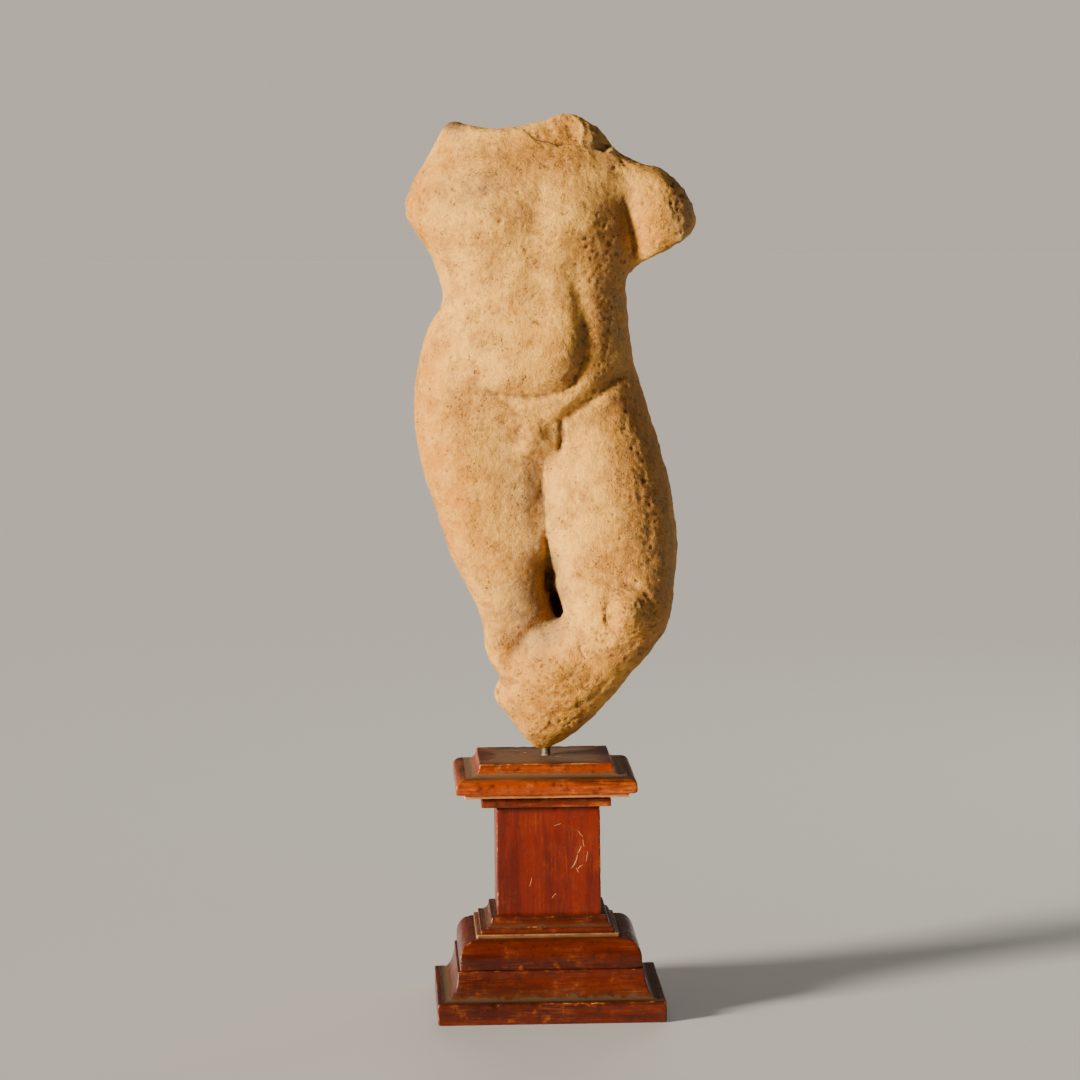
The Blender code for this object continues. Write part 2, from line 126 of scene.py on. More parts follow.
# Creases: width, depth and the line each follows
FRONT_CREASES = (
    (2.4, 0.7, ((26.5, 284), (27.4, 276), (26.2, 268))),
    (2.0, 0.9, ((25, 260), (22.6, 252), (18, 246))),
    (2.0, 1.1, ((22, 250), (15.3, 241.2), (5, 238.4), (-6, 236.4), (-18, 237.0), (-32, 238.6), (-47, 241.6))),
    (2.6, 0.5, ((12, 231.4), (-1.3, 227.6), (-17.7, 229.4), (-31, 232.7))),
    (3.0, 0.6, ((-34, 236), (-23, 229.4), (-15.2, 221.5))),
    (1.7, 1.3, ((-0.3, 194), (-1.8, 181.3), (-0.6, 160.2), (0.6, 141))),
    (2.4, 0.9, ((-14.5, 221), (-17, 213), (-17, 205), (-13, 197), (-6, 194))),
    (1.4, 1.0, ((-13.5, 210), (-9, 206.6), (-2, 206.2))),
    (2.4, 1.1, ((40, 110), (38, 100), (39, 88), (45, 80), (54, 77))),
    (2.2, 1.1, ((44, 110), (54, 112), (64, 107), (69, 98), (69, 88), (63, 79))),
    (3.0, 0.8, ((-76, 299), (-66, 301), (-56, 300), (-46, 297))),
    (2.0, 0.7, ((48, 300), (44, 284), (41, 268), (40, 256))),
    (2.0, 0.8, ((-12, 62), (-5, 53), (5, 49), (14, 52), (20, 60))),
    (2.0, 0.7, ((-18, 56), (-9, 45), (3, 40), (17, 42), (27, 52), (34, 62))),
    (2.2, 0.8, ((-12, 36), (2, 29), (18, 30), (32, 40), (44, 54))),
    (2.0, 0.6, ((22, 72), (34, 66), (48, 68), (60, 76))),
    (2.2, 0.7, ((-2, 20), (8, 18), (18, 22), (28, 30))),
    (1.2, 1.5, ((41, 104), (38.4, 98), (37.9, 91), (40, 84))),
    (1.0, 1.3, ((20.6, 73.5), (22, 69), (24.4, 64))),
    (1.5, 1.1, ((-3, 403), (2, 401.5), (7, 400.2), (12, 399.2), (18, 401))),
    (1.2, 0.9, ((17, 401), (20, 407), (17, 413))),
    (1.5, 1.0, ((-82, 371), (-79, 364), (-80, 356))),
    (2.2, 0.4, ((62, 176), (66, 160), (68, 140), (66, 120))),
)
# Ridges are creases with their depth below nothing
FRONT_RIDGES = (
    (1.5, -0.9, ((-53, 414.5), (-43, 412), (-26, 410.4), (-12, 411.5))),
    (1.5, -1.1, ((-60, 414), (-65.5, 405), (-70, 393), (-77, 385))),
    (1.4, -1.2, ((22, 419), (28.5, 410), (27, 401), (33, 391))),
    (1.8, -0.7, ((0.5, 196), (0.8, 180), (1.4, 160), (2.6, 142))),
)
SIDE_CREASES = (
    (3.0, 1.3, ((-6, 376), (-13, 364), (-12, 350), (-16, 338))),
)

# Chips and dents, like half an egg pressed in: across, height, reach across, reach up, depth
CHIPS = (
    (-4.4, 284.6, 3.2, 2.0, 0.8),
    (-0.6, 283.0, 2.6, 2.4, 0.6),
    (-11.2, 332.1, 2.2, 1.6, 1.0),
    (47.9, 384.1, 2.2, 1.8, 1.1),
    (13.4, 355.2, 1.5, 1.2, 0.7),
    (42.8, 398.6, 2.4, 1.6, 1.7),
    (72.0, 372.5, 3.6, 1.3, 0.7),
    (66.0, 361.0, 1.6, 2.0, 0.8),
    (52.0, 101.0, 2.6, 1.5, 0.8),
    (68.0, 86.0, 3.6, 1.8, 1.0),
    (41.0, 92.0, 1.6, 3.2, 0.9),
    (21.0, 244.5, 1.6, 2.6, 0.9),
    (-46.0, 316.0, 2.0, 1.3, 0.7),
    (-58.0, 372.0, 1.7, 1.7, 0.8),
    (48.0, 143.0, 1.7, 1.7, 0.7),
)

# The same in the left side: front to back, height, reaches, depth
SIDE_CHIPS = (
    (-22, 47, 12, 3.6, 1.8),
    (0, 48.5, 13, 3.2, 1.4),
    (-6, 392, 4, 5, 1.0),
    (-10, 354, 5, 3, 0.9),
    (-2, 268, 6, 4, 0.7),
    (-6, 122, 5, 6, 0.7),
)

# Broken faces: a place, the way the face looks, the reach of the flake that came away
FLAKES = (
    ((-68.6, -6, 403), (-0.90, -0.22, 0.37), 15),
    ((84, 0, 331.0), (0.50, 0.06, -0.86), 42),
    ((-24.5, 0, 17.5), (-0.80, -0.10, -0.59), 44),
    ((-32, -14, 44), (-0.92, -0.36, -0.12), 8),
)
# Those of the neck's front: how deep, the way the face looks, and its outline, across and height
NECK_FLAKES = (
    (0.9, (0.10, -0.86, 0.50),
     ((-12, 409.5), (-3, 402.5), (10, 399), (26, 400), (29, 411), (23, 424), (-8, 416))),
    (1.5, (0.64, -0.58, 0.50), ((29, 412), (27, 401), (34, 396.5), (44, 395), (50, 400), (42, 416))),
)

# Where the arms broke away: the way each break looks, its oval front to back and in height, and how far
# out it starts
ARM_BREAKS = (
    (RIGHT, (0, 352, 30, 30), 84),
    (LEFT, (0, 362, 26, 26), 70),
)

# The neck keeps its facets from here up. The broken top starts a little lower, and reaches so far across
NECK_START = 404
NECK_FADE = 14
TOP_BREAK_START = 384
TOP_BREAK_END = 74

# The worn surface, one pattern over the other: name, size, depth, where it lies, and how detailed it is
STONE_SURFACE = (
    ("tool marks", 19, 2.3, "", 2),
    ("weathering", 8, 2.7, "weathered parts", 4),
    ("granular", 3.0, 0.95, "", 1),
    ("rough hills", 5, 2.2, "rough parts", 3),
    ("broken hills", 9, 3.0, "broken parts", 4),
)
# Pits: how many, the seed of their places, least and most radius, and depth as a share of the radius
PITS = (
    (1600, 11, 0.8, 1.7, 0.50),
    (120, 12, 1.6, 3.0, 0.34),
)

# Rough pitted patches: across, height, reach across, reach up, strength
ROUGH_PATCHES = (
    (88, 358, 7, 26, 1.0),
    (80, 334, 18, 6, 0.8),
    (54, 95, 17, 13, 1.0),
    (33, 77, 9, 9, 0.7),
    (52, 70, 14, 6, 0.9),
    (6, 50, 18, 10, 0.4),
    (6, 22, 18, 12, 0.6),
    (-57, 410, 7, 6, 0.7),
    (20, 404, 16, 10, 0.25),
    (32, 338, 16, 20, 0.35),
    (40, 300, 10, 30, 0.35),
    (70, 160, 9, 50, 0.3),
    (20, 256, 8, 12, 0.6),
    (-82, 365, 7, 12, 0.5),
    (-8, 345, 20, 16, 0.3),
)

# Brown patina: across, height, reach across, reach up, strength, from the front
FRONT_PATINA = (
    (-8, 388, 30, 14, 0.55),
    (16, 394, 20, 8, 0.75),
    (-24, 352, 20, 20, 0.45),
    (14, 341, 7, 5, 0.45),
    (34, 334, 16, 24, 0.50),
    (38, 300, 12, 40, 0.60),
    (18, 256, 11, 14, 0.75),
    (38, 262, 8, 24, 0.60),
    (12, 406, 14, 8, 0.15),
    (-50, 232, 10, 16, 0.30),
    (52, 226, 14, 16, 0.85),
    (62, 196, 16, 26, 0.85),
    (66, 150, 14, 36, 0.90),
    (44, 172, 7, 26, 0.25),
    (36, 128, 14, 12, 0.50),
    (72, 100, 8, 20, 0.70),
    (64, 82, 10, 9, 0.80),
    (44, 66, 20, 7, 0.85),
    (18, 52, 20, 7, 0.45),
    (-6, 40, 14, 8, 0.30),
    (14, 28, 24, 12, 0.45),
    (2, 12, 14, 9, 0.45),
    (53, 96, 15, 11, 0.40),
    (10, 36, 13, 8, 0.60),
    (75, 338, 10, 10, 0.35),
    (-60, 232, 14, 12, 0.25),
    (-10, 184, 8, 30, 0.45),
    (-14, 62, 14, 12, 0.30),
    (4, 58, 14, 10, 0.40),
    (6, 44, 24, 18, 0.35),
    (4, 26, 20, 12, 0.20),
    (-50, 168, 18, 50, 0.22),
    (-26, 76, 10, 14, 0.45),
    (-10, 210, 12, 10, 0.50),
    (-2, 170, 5, 26, 0.50),
    (86, 356, 9, 24, 0.60),
)
FRONT_CREAM = (
    (-42, 288, 22, 26, 0.80),
    (-16, 256, 16, 16, 0.60),
    (-70, 352, 14, 20, 0.35),
    (15, 184, 9, 34, 0.85),
    (-30, 200, 18, 24, 0.30),
    (-28, 403, 20, 5, 0.75),
    (8, 312, 22, 14, 0.45),
    (20, 150, 12, 20, 0.45),
    (18, 80, 10, 20, 0.60),
    (34, 104, 7, 8, 0.30),
    (-3, 338, 8, 15, 0.75),
    (2, 362, 11, 11, 0.45),
    (38, 232, 9, 7, 0.35),
    (36, 180, 9, 22, 0.45),
    (-46, 338, 14, 12, 0.30),
    (31, 69, 9, 7, 0.40),
    (-6, 302, 20, 16, 0.60),
    (-52, 318, 16, 20, 0.50),
    (-8, 262, 16, 14, 0.30),
    (22, 352, 10, 8, 0.30),
    (-26, 98, 8, 14, 0.35),
    (66, 350, 8, 20, 0.45),
    (30, 366, 12, 10, 0.30),
)
BACK_PATINA = (
    (-30, 372, 26, 18, 0.35),
    (36, 340, 18, 26, 0.40),
    (-8, 300, 16, 34, 0.35),
    (40, 220, 24, 30, 0.40),
    (-52, 236, 18, 22, 0.30),
    (20, 130, 22, 26, 0.40),
    (-20, 64, 20, 20, 0.40),
    (10, 20, 22, 14, 0.40),
    (10, 392, 26, 12, -0.35),
    (-40, 300, 16, 22, -0.30),
    (26, 276, 16, 16, -0.30),
    (-34, 170, 18, 30, -0.30),
    (52, 150, 14, 22, -0.25),
)
# Yellow-orange stains, and grey weathering mixed with painted grey shade on the sides turned from the light
# and in the slit between the legs, in the same way
FRONT_OCHRE = (
    (-84, 366, 10, 18, 1.00),
    (-72, 380, 10, 10, 0.70),
    (-78, 345, 10, 12, 0.60),
    (-62, 398, 6, 16, 0.80),
    (-70, 336, 10, 14, 0.50),
    (-80, 250, 14, 28, 1.00),
    (-72, 206, 16, 28, 0.80),
    (-60, 156, 18, 34, 1.00),
    (-80, 214, 12, 26, 0.50),
    (-40, 180, 20, 20, 0.40),
    (-14, 282, 16, 16, 0.25),
    (-40, 124, 14, 12, 0.50),
    (12, 406, 16, 10, 0.90),
    (18, 396, 14, 7, 0.90),
    (-10, 402, 10, 6, 0.60),
    (74, 366, 10, 16, 0.60),
    (2, 272, 14, 14, 0.35),
    (48, 214, 12, 14, 0.60),
    (60, 180, 12, 24, 0.50),
    (72, 96, 7, 16, 0.90),
    (30, 58, 26, 9, 0.90),
    (4, 24, 18, 14, 1.00),
    (12, 38, 20, 12, 0.90),
    (-8, 60, 22, 16, 0.70),
    (76, 336, 12, 12, 0.90),
    (70, 354, 14, 18, 0.45),
    (46, 94, 15, 13, 0.80),
    (-30, 34, 10, 14, 0.40),
    (-40, 388, 16, 10, 0.25),
    (40, 140, 18, 14, 0.40),
)
FRONT_GREY_AND_SHADE = (
    (-8, 168, 12, 26, 0.65),
    (-26, 190, 10, 24, 0.30),
    (-3, 106, 11, 26, 2.40),
    (-18, 100, 14, 16, 0.70),
    (97, 130, 15, 60, 1.10),
    (40, 402, 9, 9, 0.90),
    (94, 350, 7, 26, 0.80),
    (-44, 372, 20, 14, 0.50),
    (-55, 408, 8, 8, 0.60),
    (52, 290, 9, 30, 0.60),
    (-10, 80, 14, 9, 1.20),
)
# Painted shade deep in the armpit, the belly's groove, under the groin and in the slit between the legs, and
# dark marks at the neck's break
FRONT_SHADE_AND_DARK_MARKS = (
    (53, 350, 6, 26, 1.0),
    (25, 276, 3, 18, 0.5),
    (10, 212, 3, 9, 0.8),
    (0, 109, 6, 20, 1.1),
    (-5, 106, 9, 20, 1.50),
    (5, 96, 5, 8, 0.8),
    (-57, 414, 7, 3, 1.6),
    (4, 402, 8, 2, 0.5),
)
# Fresh pale nicks
NICKS = (
    (26.8, 33.8, 2.4, 0.9, 1.0),
    (15.2, 17.3, 2.0, 0.7, 1.0),
    (30.0, 26.0, 1.0, 1.6, 0.8),
    (-24, 30, 6.0, 0.8, 0.6),
    (26.0, 416.0, 1.4, 3.0, 0.9),
    (-4.0, 404.5, 3.0, 0.8, 0.9),
    (86.0, 352.0, 0.9, 3.0, 0.9),
    (44.0, 396.0, 2.4, 0.8, 0.7),
    (90.0, 338.0, 1.6, 0.8, 0.8),
)

# Wood: how far the upright arrises are eased, how finely the boards are divided round and up, how wide
# the dust lies beside the next board, how far wear reaches past an arris, and the seam between two boards
WOOD_EASE = 0.8 * MM
WOOD_STEP = 1.4 * MM
WOOD_RISE = 3.2 * MM
DUST_RIM = 3.0 * MM
WEAR_REACH = 1.2 * MM
SEAM = 0.28 * MM
BOARD_DENTS = 60
FIRST_BOARD_SEED = 30
SHARP_ANGLE = math.radians(35)

# The stained wood of each part: its deep, its red and its orange, how strong its flecks are, the bare wood
# under the stain and how much of it shows, and its dust and how thick the film of it is
# The cap's wood is lighter and the foot's darker than the die's, partly their own tones and partly painted
# light that falls off downward
WOOD_TONES = {
    "die": ((0.085, 0.0050, 0.0004), (0.165, 0.0100, 0.0004), (0.290, 0.046, 0.0015), 0.25,
            (0.60, 0.20, 0.026), 0.72, (0.070, 0.036, 0.014), 0.22),
    "cap": ((0.095, 0.0110, 0.0010), (0.260, 0.0330, 0.0018), (0.620, 0.150, 0.0090), 0.66,
            (0.60, 0.20, 0.026), 0.72, (0.13, 0.072, 0.034), 0.40),
    "foot": ((0.040, 0.0040, 0.0006), (0.098, 0.0100, 0.0008), (0.270, 0.052, 0.0045), 0.62,
             (0.46, 0.145, 0.018), 0.62, (0.070, 0.036, 0.014), 0.22),
}

# Pale scratches, most of them towards the right of the die's front: across, height, turn in degrees,
# half length, half width, bend
DIE_SCRATCHES = (
    (20.5, 109.0, 62, 3.4, 0.28, 40.0),
    (22.8, 113.5, 100, 3.0, 0.24, -30.0),
    (21.0, 119.5, 128, 3.2, 0.22, 20.0),
    (17.6, 101.0, 66, 6.0, 0.34, 34.0),
    (20.4, 97.6, 40, 2.6, 0.30, -60.0),
    (18.8, 95.4, 118, 2.2, 0.26, 30.0),
    (25.2, 104.5, 84, 4.2, 0.20, 10.0),
    (-12.0, 88.0, 75, 3.6, 0.16, 12.0),
    (3.0, 78.5, 50, 2.4, 0.18, 25.0),
    (6.0, 126.0, 20, 2.8, 0.16, 25.0),
)

# Camera, as found from the plinth's corners: 2 degrees round to the left, a little above the stone's top
# and looking down on it. The photograph is 1080 pixels wide, and the lens reaches 5000 of them
PHOTO_WIDTH = 1080
FOCAL_PIXELS = 5000
SENSOR_WIDTH = 36
CAMERA_TURN = math.radians(-1.9639)
CAMERA_AIM = math.radians(0.0416577)
CAMERA_DIP = math.radians(5.135156)
CAMERA_ROLL = math.radians(-0.602416)
CAMERA_DISTANCE = 3.30736
CAMERA_HEIGHT = 0.608959
CAMERA_LENS = SENSOR_WIDTH * FOCAL_PIXELS / PHOTO_WIDTH

# Light: a soft low key from the left, a dimmer one from behind, and a dim even room
KEY_TURN = math.radians(58)
KEY_RISE = math.radians(13)
KEY_LIGHT = 10.0
KEY_COLOUR = (1.0, 0.92, 0.78)
BACK_TURN = math.radians(184)
BACK_RISE = math.radians(13)
BACK_LIGHT = 2.3
BACK_COLOUR = (1.0, 0.95, 0.88)
ROOM_LIGHT = 0.085
ROOM_COLOUR = (0.86, 0.83, 0.80)
FLOOR_COLOUR = (0.60, 0.59, 0.57)


# Modelling


def work_on(thing):
    """Makes one object the only one that is selected, and the active one."""
    bpy.ops.object.select_all(action="DESELECT")
    thing.select_set(True)
    bpy.context.view_layer.objects.active = thing


def finish_with(thing, name, kind, **settings):
    """Adds a modifier with its settings and applies it."""
    work_on(thing)
    modifier = thing.modifiers.new(name, kind)
    for setting, value in settings.items():
        setattr(modifier, setting, value)
    bpy.ops.object.modifier_apply(modifier=modifier.name)


def uneven(thing, name, size, depth, group="", detail=2):
    """Moves the surface in and out by a cloud pattern of the given size."""
    clouds = bpy.data.textures.new(name, "CLOUDS")
    clouds.noise_scale = size
    clouds.noise_basis = "ORIGINAL_PERLIN"
    clouds.noise_depth = detail
    finish_with(thing, name, "DISPLACE", texture=clouds, texture_coords="LOCAL", strength=depth,
                mid_level=0.5, vertex_group=group)


def read_points(mesh, what="co"):
    """The mesh's points, or their normals, as rows of three."""
    flat = np.empty(len(mesh.vertices) * 3)
    mesh.vertices.foreach_get(what, flat)
    return flat.reshape(-1, 3)


def move_points(mesh, points):
    """Puts the mesh's points where the rows say."""
    mesh.vertices.foreach_set("co", points.ravel())
    mesh.update()


def paint(mesh, name, values):
    """Keeps one number from 0 to 1 on every point, for the materials."""
    layer = mesh.attributes.new(name, "FLOAT", "POINT")
    layer.data.foreach_set("value", np.clip(values, 0, 1).astype(np.float32))


def group_points(thing, name, values):
    """A vertex group with the given weights."""
    group = thing.vertex_groups.new(name=name)
    steps = np.round(np.clip(values, 0, 1) * 10).astype(int)
    for step in range(1, 11):
        members = np.flatnonzero(steps == step)
        if len(members):
            group.add(members.tolist(), step / 10, "REPLACE")


def smooth_line(points, steps):
    """A smooth line through the given points."""
    p = np.array(points, float)
    padded = np.vstack((2 * p[0] - p[1], p, 2 * p[-1] - p[-2]))
    line = []
    for i in range(len(p) - 1):
        a, b, c, d = padded[i:i + 4]
        for t in np.arange(steps) / steps:
            line.append(0.5 * (2 * b + (c - a) * t + (2 * a - 5 * b + 4 * c - d) * t ** 2
                               + (3 * b - a - 3 * c + d) * t ** 3))
    line.append(p[-1])
    return np.array(line)


def evenly(line, step):
    """The same line with its points so far apart."""
    along = np.concatenate(([0], np.cumsum(np.linalg.norm(np.diff(line, axis=0), axis=1))))
    stops = np.linspace(0, along[-1], max(2, int(along[-1] / step)))
    return np.stack([np.interp(stops, along, line[:, i]) for i in range(line.shape[1])], axis=1)


# Carving the stone


def on_stone(points):
    """The points in millimetres, with heights from the stone's lowest point."""
    return (points - np.array((0, 0, STONE_FOOT))) / MM


def oval(place, form, axes=(0, 2)):
    """Distance from the middle of an oval, as a share of its reach."""
    across, height, reach_across, reach_up = form[:4]
    return np.hypot((place[:, axes[0]] - across) / reach_across, (place[:, axes[1]] - height) / reach_up)


def seen_from(normals, way):
    """1 where the surface looks the given way, down to 0 on its far side."""
    return np.clip(normals @ way * 1.5, 0, 1)


def model_forms(mesh, forms, way, axes=(0, 2)):
    """Raises and hollows soft forms on one side of the stone."""
    points, normals = read_points(mesh), read_points(mesh, "normal")
    place = on_stone(points)
    for form in forms:
        weight = np.exp(-1.2 * oval(place, form, axes) ** 2) * seen_from(normals, way)
        points += np.outer(weight * form[4] * MM, way)
    move_points(mesh, points)


def cut_creases(mesh, creases, way, axes=(0, 2)):
    """Cuts creases that follow their lines and die away at both ends."""
    points, normals = read_points(mesh), read_points(mesh, "normal")
    place = on_stone(points)[:, axes]
    facing = seen_from(normals, way)
    for width, depth, line in creases:
        path = evenly(smooth_line(line, 8), 0.4)
        reach = 3 * width
        near = np.flatnonzero((facing > 0) & (place > path.min(axis=0) - reach).all(axis=1)
                              & (place < path.max(axis=0) + reach).all(axis=1))
        gap = place[near][:, None, :] - path[None, :, :]
        distance = np.hypot(gap[:, :, 0], gap[:, :, 1])
        share = distance.argmin(axis=1) / (len(path) - 1)
        fade = np.clip(np.sin(math.pi * np.clip(share, 0.03, 0.97)) * 2.5, 0, 1)
        weight = np.exp(-np.abs(distance.min(axis=1) / width) ** 1.4) * fade * facing[near]
        points[near] -= np.outer(weight * depth * MM, way)
    move_points(mesh, points)


def knock_chips(mesh, chips, way, axes=(0, 2)):
    """Presses steep little hollows into one side of the stone."""
    points, normals = read_points(mesh), read_points(mesh, "normal")
    place = on_stone(points)
    facing = seen_from(normals, way)
    for chip in chips:
        weight = np.clip(1 - oval(place, chip, axes) ** 2, 0, 1) ** 0.7 * facing
        points -= np.outer(weight * chip[4] * MM, way)
    move_points(mesh, points)


def within(place, outline, fade):
    """1 inside an outline seen from the front, and 0 outside it, with a narrow edge."""
    share = np.ones(len(place))
    for (x, z), (next_x, next_z) in zip(outline, outline[1:] + outline[:1]):
        length = math.hypot(next_x - x, next_z - z)
        inward = ((next_x - x) * (place[:, 2] - z) - (next_z - z) * (place[:, 0] - x)) / length
        share = np.minimum(share, np.clip(inward / fade, 0, 1))
    return share


def split_flakes(mesh):
    """Takes flakes off to flat broken faces. Returns 1 where the stone is broken."""
    points, normals = read_points(mesh), read_points(mesh, "normal")
    broken = np.zeros(len(points))

    def split(spot, look, inside):
        beyond = (on_stone(points) - spot) @ look
        points[:] -= np.outer(np.clip(beyond, 0, None) * inside * (beyond < 14) * MM, look)
        broken[:] = np.maximum(broken, inside * np.clip((beyond + 0.5) / 0.8, 0, 1))

    for spot, look, reach in FLAKES:
        look = np.array(look) / np.linalg.norm(look)
        offset = on_stone(points) - np.array(spot)
        beyond = offset @ look
        aside = np.linalg.norm(offset - np.outer(beyond, look), axis=1)
        split(np.array(spot), look, np.clip((reach - aside) / (0.25 * reach), 0, 1))
    for deep, look, outline in NECK_FLAKES:
        look = np.array(look) / np.linalg.norm(look)
        middle = np.mean(outline, axis=0)
        place = on_stone(points)
        aside = np.hypot(place[:, 0] - middle[0], place[:, 2] - middle[1])
        aside[normals @ FRONT < 0.2] = np.inf
        near_front = np.clip(normals @ FRONT * 3 + 1, 0, 1)
        split(place[aside.argmin()] - deep * look, look, within(place, outline, 1.2) * near_front)
    move_points(mesh, points)
    return broken


def pit_surface(mesh, likely, count, seed, smallest, largest, depth):
    """Sinks many small pits at random places, more of them where they are likely."""
    draw = np.random.default_rng(seed)
    points, normals = read_points(mesh), read_points(mesh, "normal")
    tree = kdtree.KDTree(len(points))
    for i, point in enumerate(points):
        tree.insert(point, i)
    tree.balance()
    chance = likely / likely.sum()
    for middle in draw.choice(len(points), count, p=chance):
        radius = draw.uniform(smallest, largest) * MM
        sink = depth * radius * draw.uniform(0.4, 1.0)
        for _, i, distance in tree.find_range(points[middle], radius):
            points[i] -= normals[i] * sink * (1 - (distance / radius) ** 2)
    move_points(mesh, points)


def relief(thing, iterations):
    """How far each point stands out of the surface around it, in millimetres. Hollows are negative."""
    even = bpy.data.objects.new("even", thing.data.copy())
    bpy.context.scene.collection.objects.link(even)
    finish_with(even, "even out", "SMOOTH", factor=0.5, iterations=iterations)
    out = ((read_points(thing.data) - read_points(even.data)) * read_points(thing.data, "normal")).sum(axis=1)
    spare = even.data
    bpy.data.objects.remove(even, do_unlink=True)
    bpy.data.meshes.remove(spare)
    return out / MM


def spots(place, facing, table):
    """The sum of soft spots on one side of the stone."""
    total = np.zeros(len(place))
    for spot in table:
        total += spot[4] * np.exp(-oval(place, spot) ** 2) * facing
    return total


def find_patina(place, normals):
    """How brown each point is, from 0 to 1: spots of patina and of clean cream, and painted shade on the
    right side.
    """
    facing = np.clip(normals @ FRONT * 2 + 0.6, 0, 1)
    patina = 0.25 + spots(place, facing, FRONT_PATINA) - spots(place, facing, FRONT_CREAM)
    patina += spots(place, seen_from(normals, BACK), BACK_PATINA)
    # Painted shade: browner on the right side, which turns away from the light
    patina += 0.30 * seen_from(normals, RIGHT) * np.clip((place[:, 0] - 30) / 30, 0, 1)
    return np.clip(patina, 0, 1)


def block_out():
    """The stone as one even skin over the solid's form, with its facets softened below the neck."""
    stone = bpy.data.objects.new("carved_torso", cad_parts["torso"].data.copy())
    bpy.context.scene.collection.objects.link(stone)
    work_on(stone)
    bpy.ops.object.mode_set(mode="EDIT")
    bpy.ops.mesh.select_all(action="SELECT")
    bpy.ops.mesh.remove_doubles(threshold=0.01 * MM)
    bpy.ops.object.mode_set(mode="OBJECT")
    finish_with(stone, "fine grain", "REMESH", mode="VOXEL", voxel_size=STONE_GRAIN)
    heights = on_stone(read_points(stone.data))[:, 2]
    group_points(stone, "below the neck", np.clip((NECK_START - heights) / NECK_FADE, 0.1, 1))
    finish_with(stone, "soften facets", "SMOOTH", factor=0.5, iterations=10, vertex_group="below the neck")
    stone.vertex_groups.clear()
    return stone


def broken_ends(mesh):
    """1 on the broken top of the neck and where the arms broke away."""
    place, normals = on_stone(read_points(mesh)), read_points(mesh, "normal")
    broken = np.clip((normals[:, 2] - 0.55) * 4, 0, 1) * np.clip((place[:, 2] - TOP_BREAK_START) / 8, 0, 1)
    broken *= np.clip((TOP_BREAK_END - place[:, 0]) / 10, 0, 1)
    for way, form, start in ARM_BREAKS:
        end = np.clip((normals @ way - 0.45) * 4, 0, 1) * np.clip((place @ way - start) / 6, 0, 1)
        broken = np.maximum(broken, end * np.clip(1.6 - oval(place, form, (1, 2)), 0, 1))
    return broken


def weather(stone, broken):
    """Roughens and pits the stone, and marks for the material what is brown, worn or broken, where it is
    darker in its hollows, and where shade, highlight and a paler back are painted.
    """
    mesh = stone.data
    place, normals = on_stone(read_points(mesh)), read_points(mesh, "normal")
    patina = find_patina(place, normals)
    facing = np.clip(normals @ FRONT * 2 + 1, 0, 1)
    behind = seen_from(normals, BACK)
    rough = np.clip(spots(place, facing, ROUGH_PATCHES) + 0.12 * behind, 0, 1)
    group_points(stone, "broken parts", broken)
    group_points(stone, "weathered parts", 0.40 + 0.3 * patina + 0.4 * rough)
    group_points(stone, "rough parts", rough)
    for name, size, depth, group, detail in STONE_SURFACE:
        uneven(stone, name, size * MM, depth * MM, group, detail)
    likely = 0.07 + 0.8 * patina ** 2 + 3.0 * rough
    for pits in PITS:
        pit_surface(mesh, likely, *pits)

    fine, wide = relief(stone, 6), relief(stone, 60)
    # Painted highlight on what stands out of the relief, and darker in its hollows
    ridge_highlight_and_nicks = np.clip(fine / 0.16, 0, 1) * 0.65 + np.clip(wide / 1.6, 0, 1) * 0.25
    hollow = np.clip(-fine / 0.2 - 0.15, 0, 1) * 0.5 + np.clip(-wide / 0.9, 0, 1) * 0.6
    for name, values in (
            # Darker in the hollows of the relief, and painted shade from the listed spots
            ("hollow", hollow + spots(place, facing, FRONT_SHADE_AND_DARK_MARKS)),
            ("ridge_highlight_and_nicks", ridge_highlight_and_nicks + spots(place, facing, NICKS)),
            ("patina", patina),
            ("rough", rough),
            ("broken", broken),
            ("ochre", spots(place, facing, FRONT_OCHRE) + 0.25 * behind),
            # Grey weathering, and painted shade on the right side, which turns from the light
            ("grey", spots(place, facing, FRONT_GREY_AND_SHADE) + 0.6 * seen_from(normals, RIGHT)),
            # The back, painted paler against its dimmer light
            ("behind", behind)):
        paint(mesh, name, values)


def carve_torso():
    """The stone: the solid's form, with its finer carving, breaks and worn surface."""
    stone = block_out()
    for forms, way, axes in (
            (FRONT_FORMS, FRONT, (0, 2)),
            (BACK_FORMS, BACK, (0, 2)),
            (LEFT_FORMS, LEFT, (1, 2)),
            (RIGHT_FORMS, RIGHT, (1, 2)),
            (TOP_FORMS, UP, (0, 1))):
        model_forms(stone.data, forms, way, axes)
    cut_creases(stone.data, DEEP_CUTS, FRONT)
    finish_with(stone, "fine grain again", "REMESH", mode="VOXEL", voxel_size=STONE_GRAIN)
    finish_with(stone, "soften cuts", "SMOOTH", factor=0.5, iterations=2)
    mesh = stone.data
    broken = split_flakes(mesh)
    cut_creases(mesh, FRONT_CREASES, FRONT)
    cut_creases(mesh, FRONT_RIDGES, FRONT)
    cut_creases(mesh, SIDE_CREASES, RIGHT, (1, 2))
    broken = np.maximum(broken, broken_ends(mesh))
    knock_chips(mesh, CHIPS, FRONT)
    knock_chips(mesh, SIDE_CHIPS, LEFT, (1, 2))
    weather(stone, broken)
    triangles = 2 * len(mesh.polygons)
    finish_with(stone, "thin out", "DECIMATE", ratio=min(1.0, STONE_TRIANGLES / triangles))
    stone.data.shade_smooth()
    stone.data.materials.clear()
    stone.data.materials.append(limestone())
    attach(stone, "root")
    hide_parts("torso")


# Boards of the plinth. A ring of a profile is half its width, its height, how worn and how dusty it is


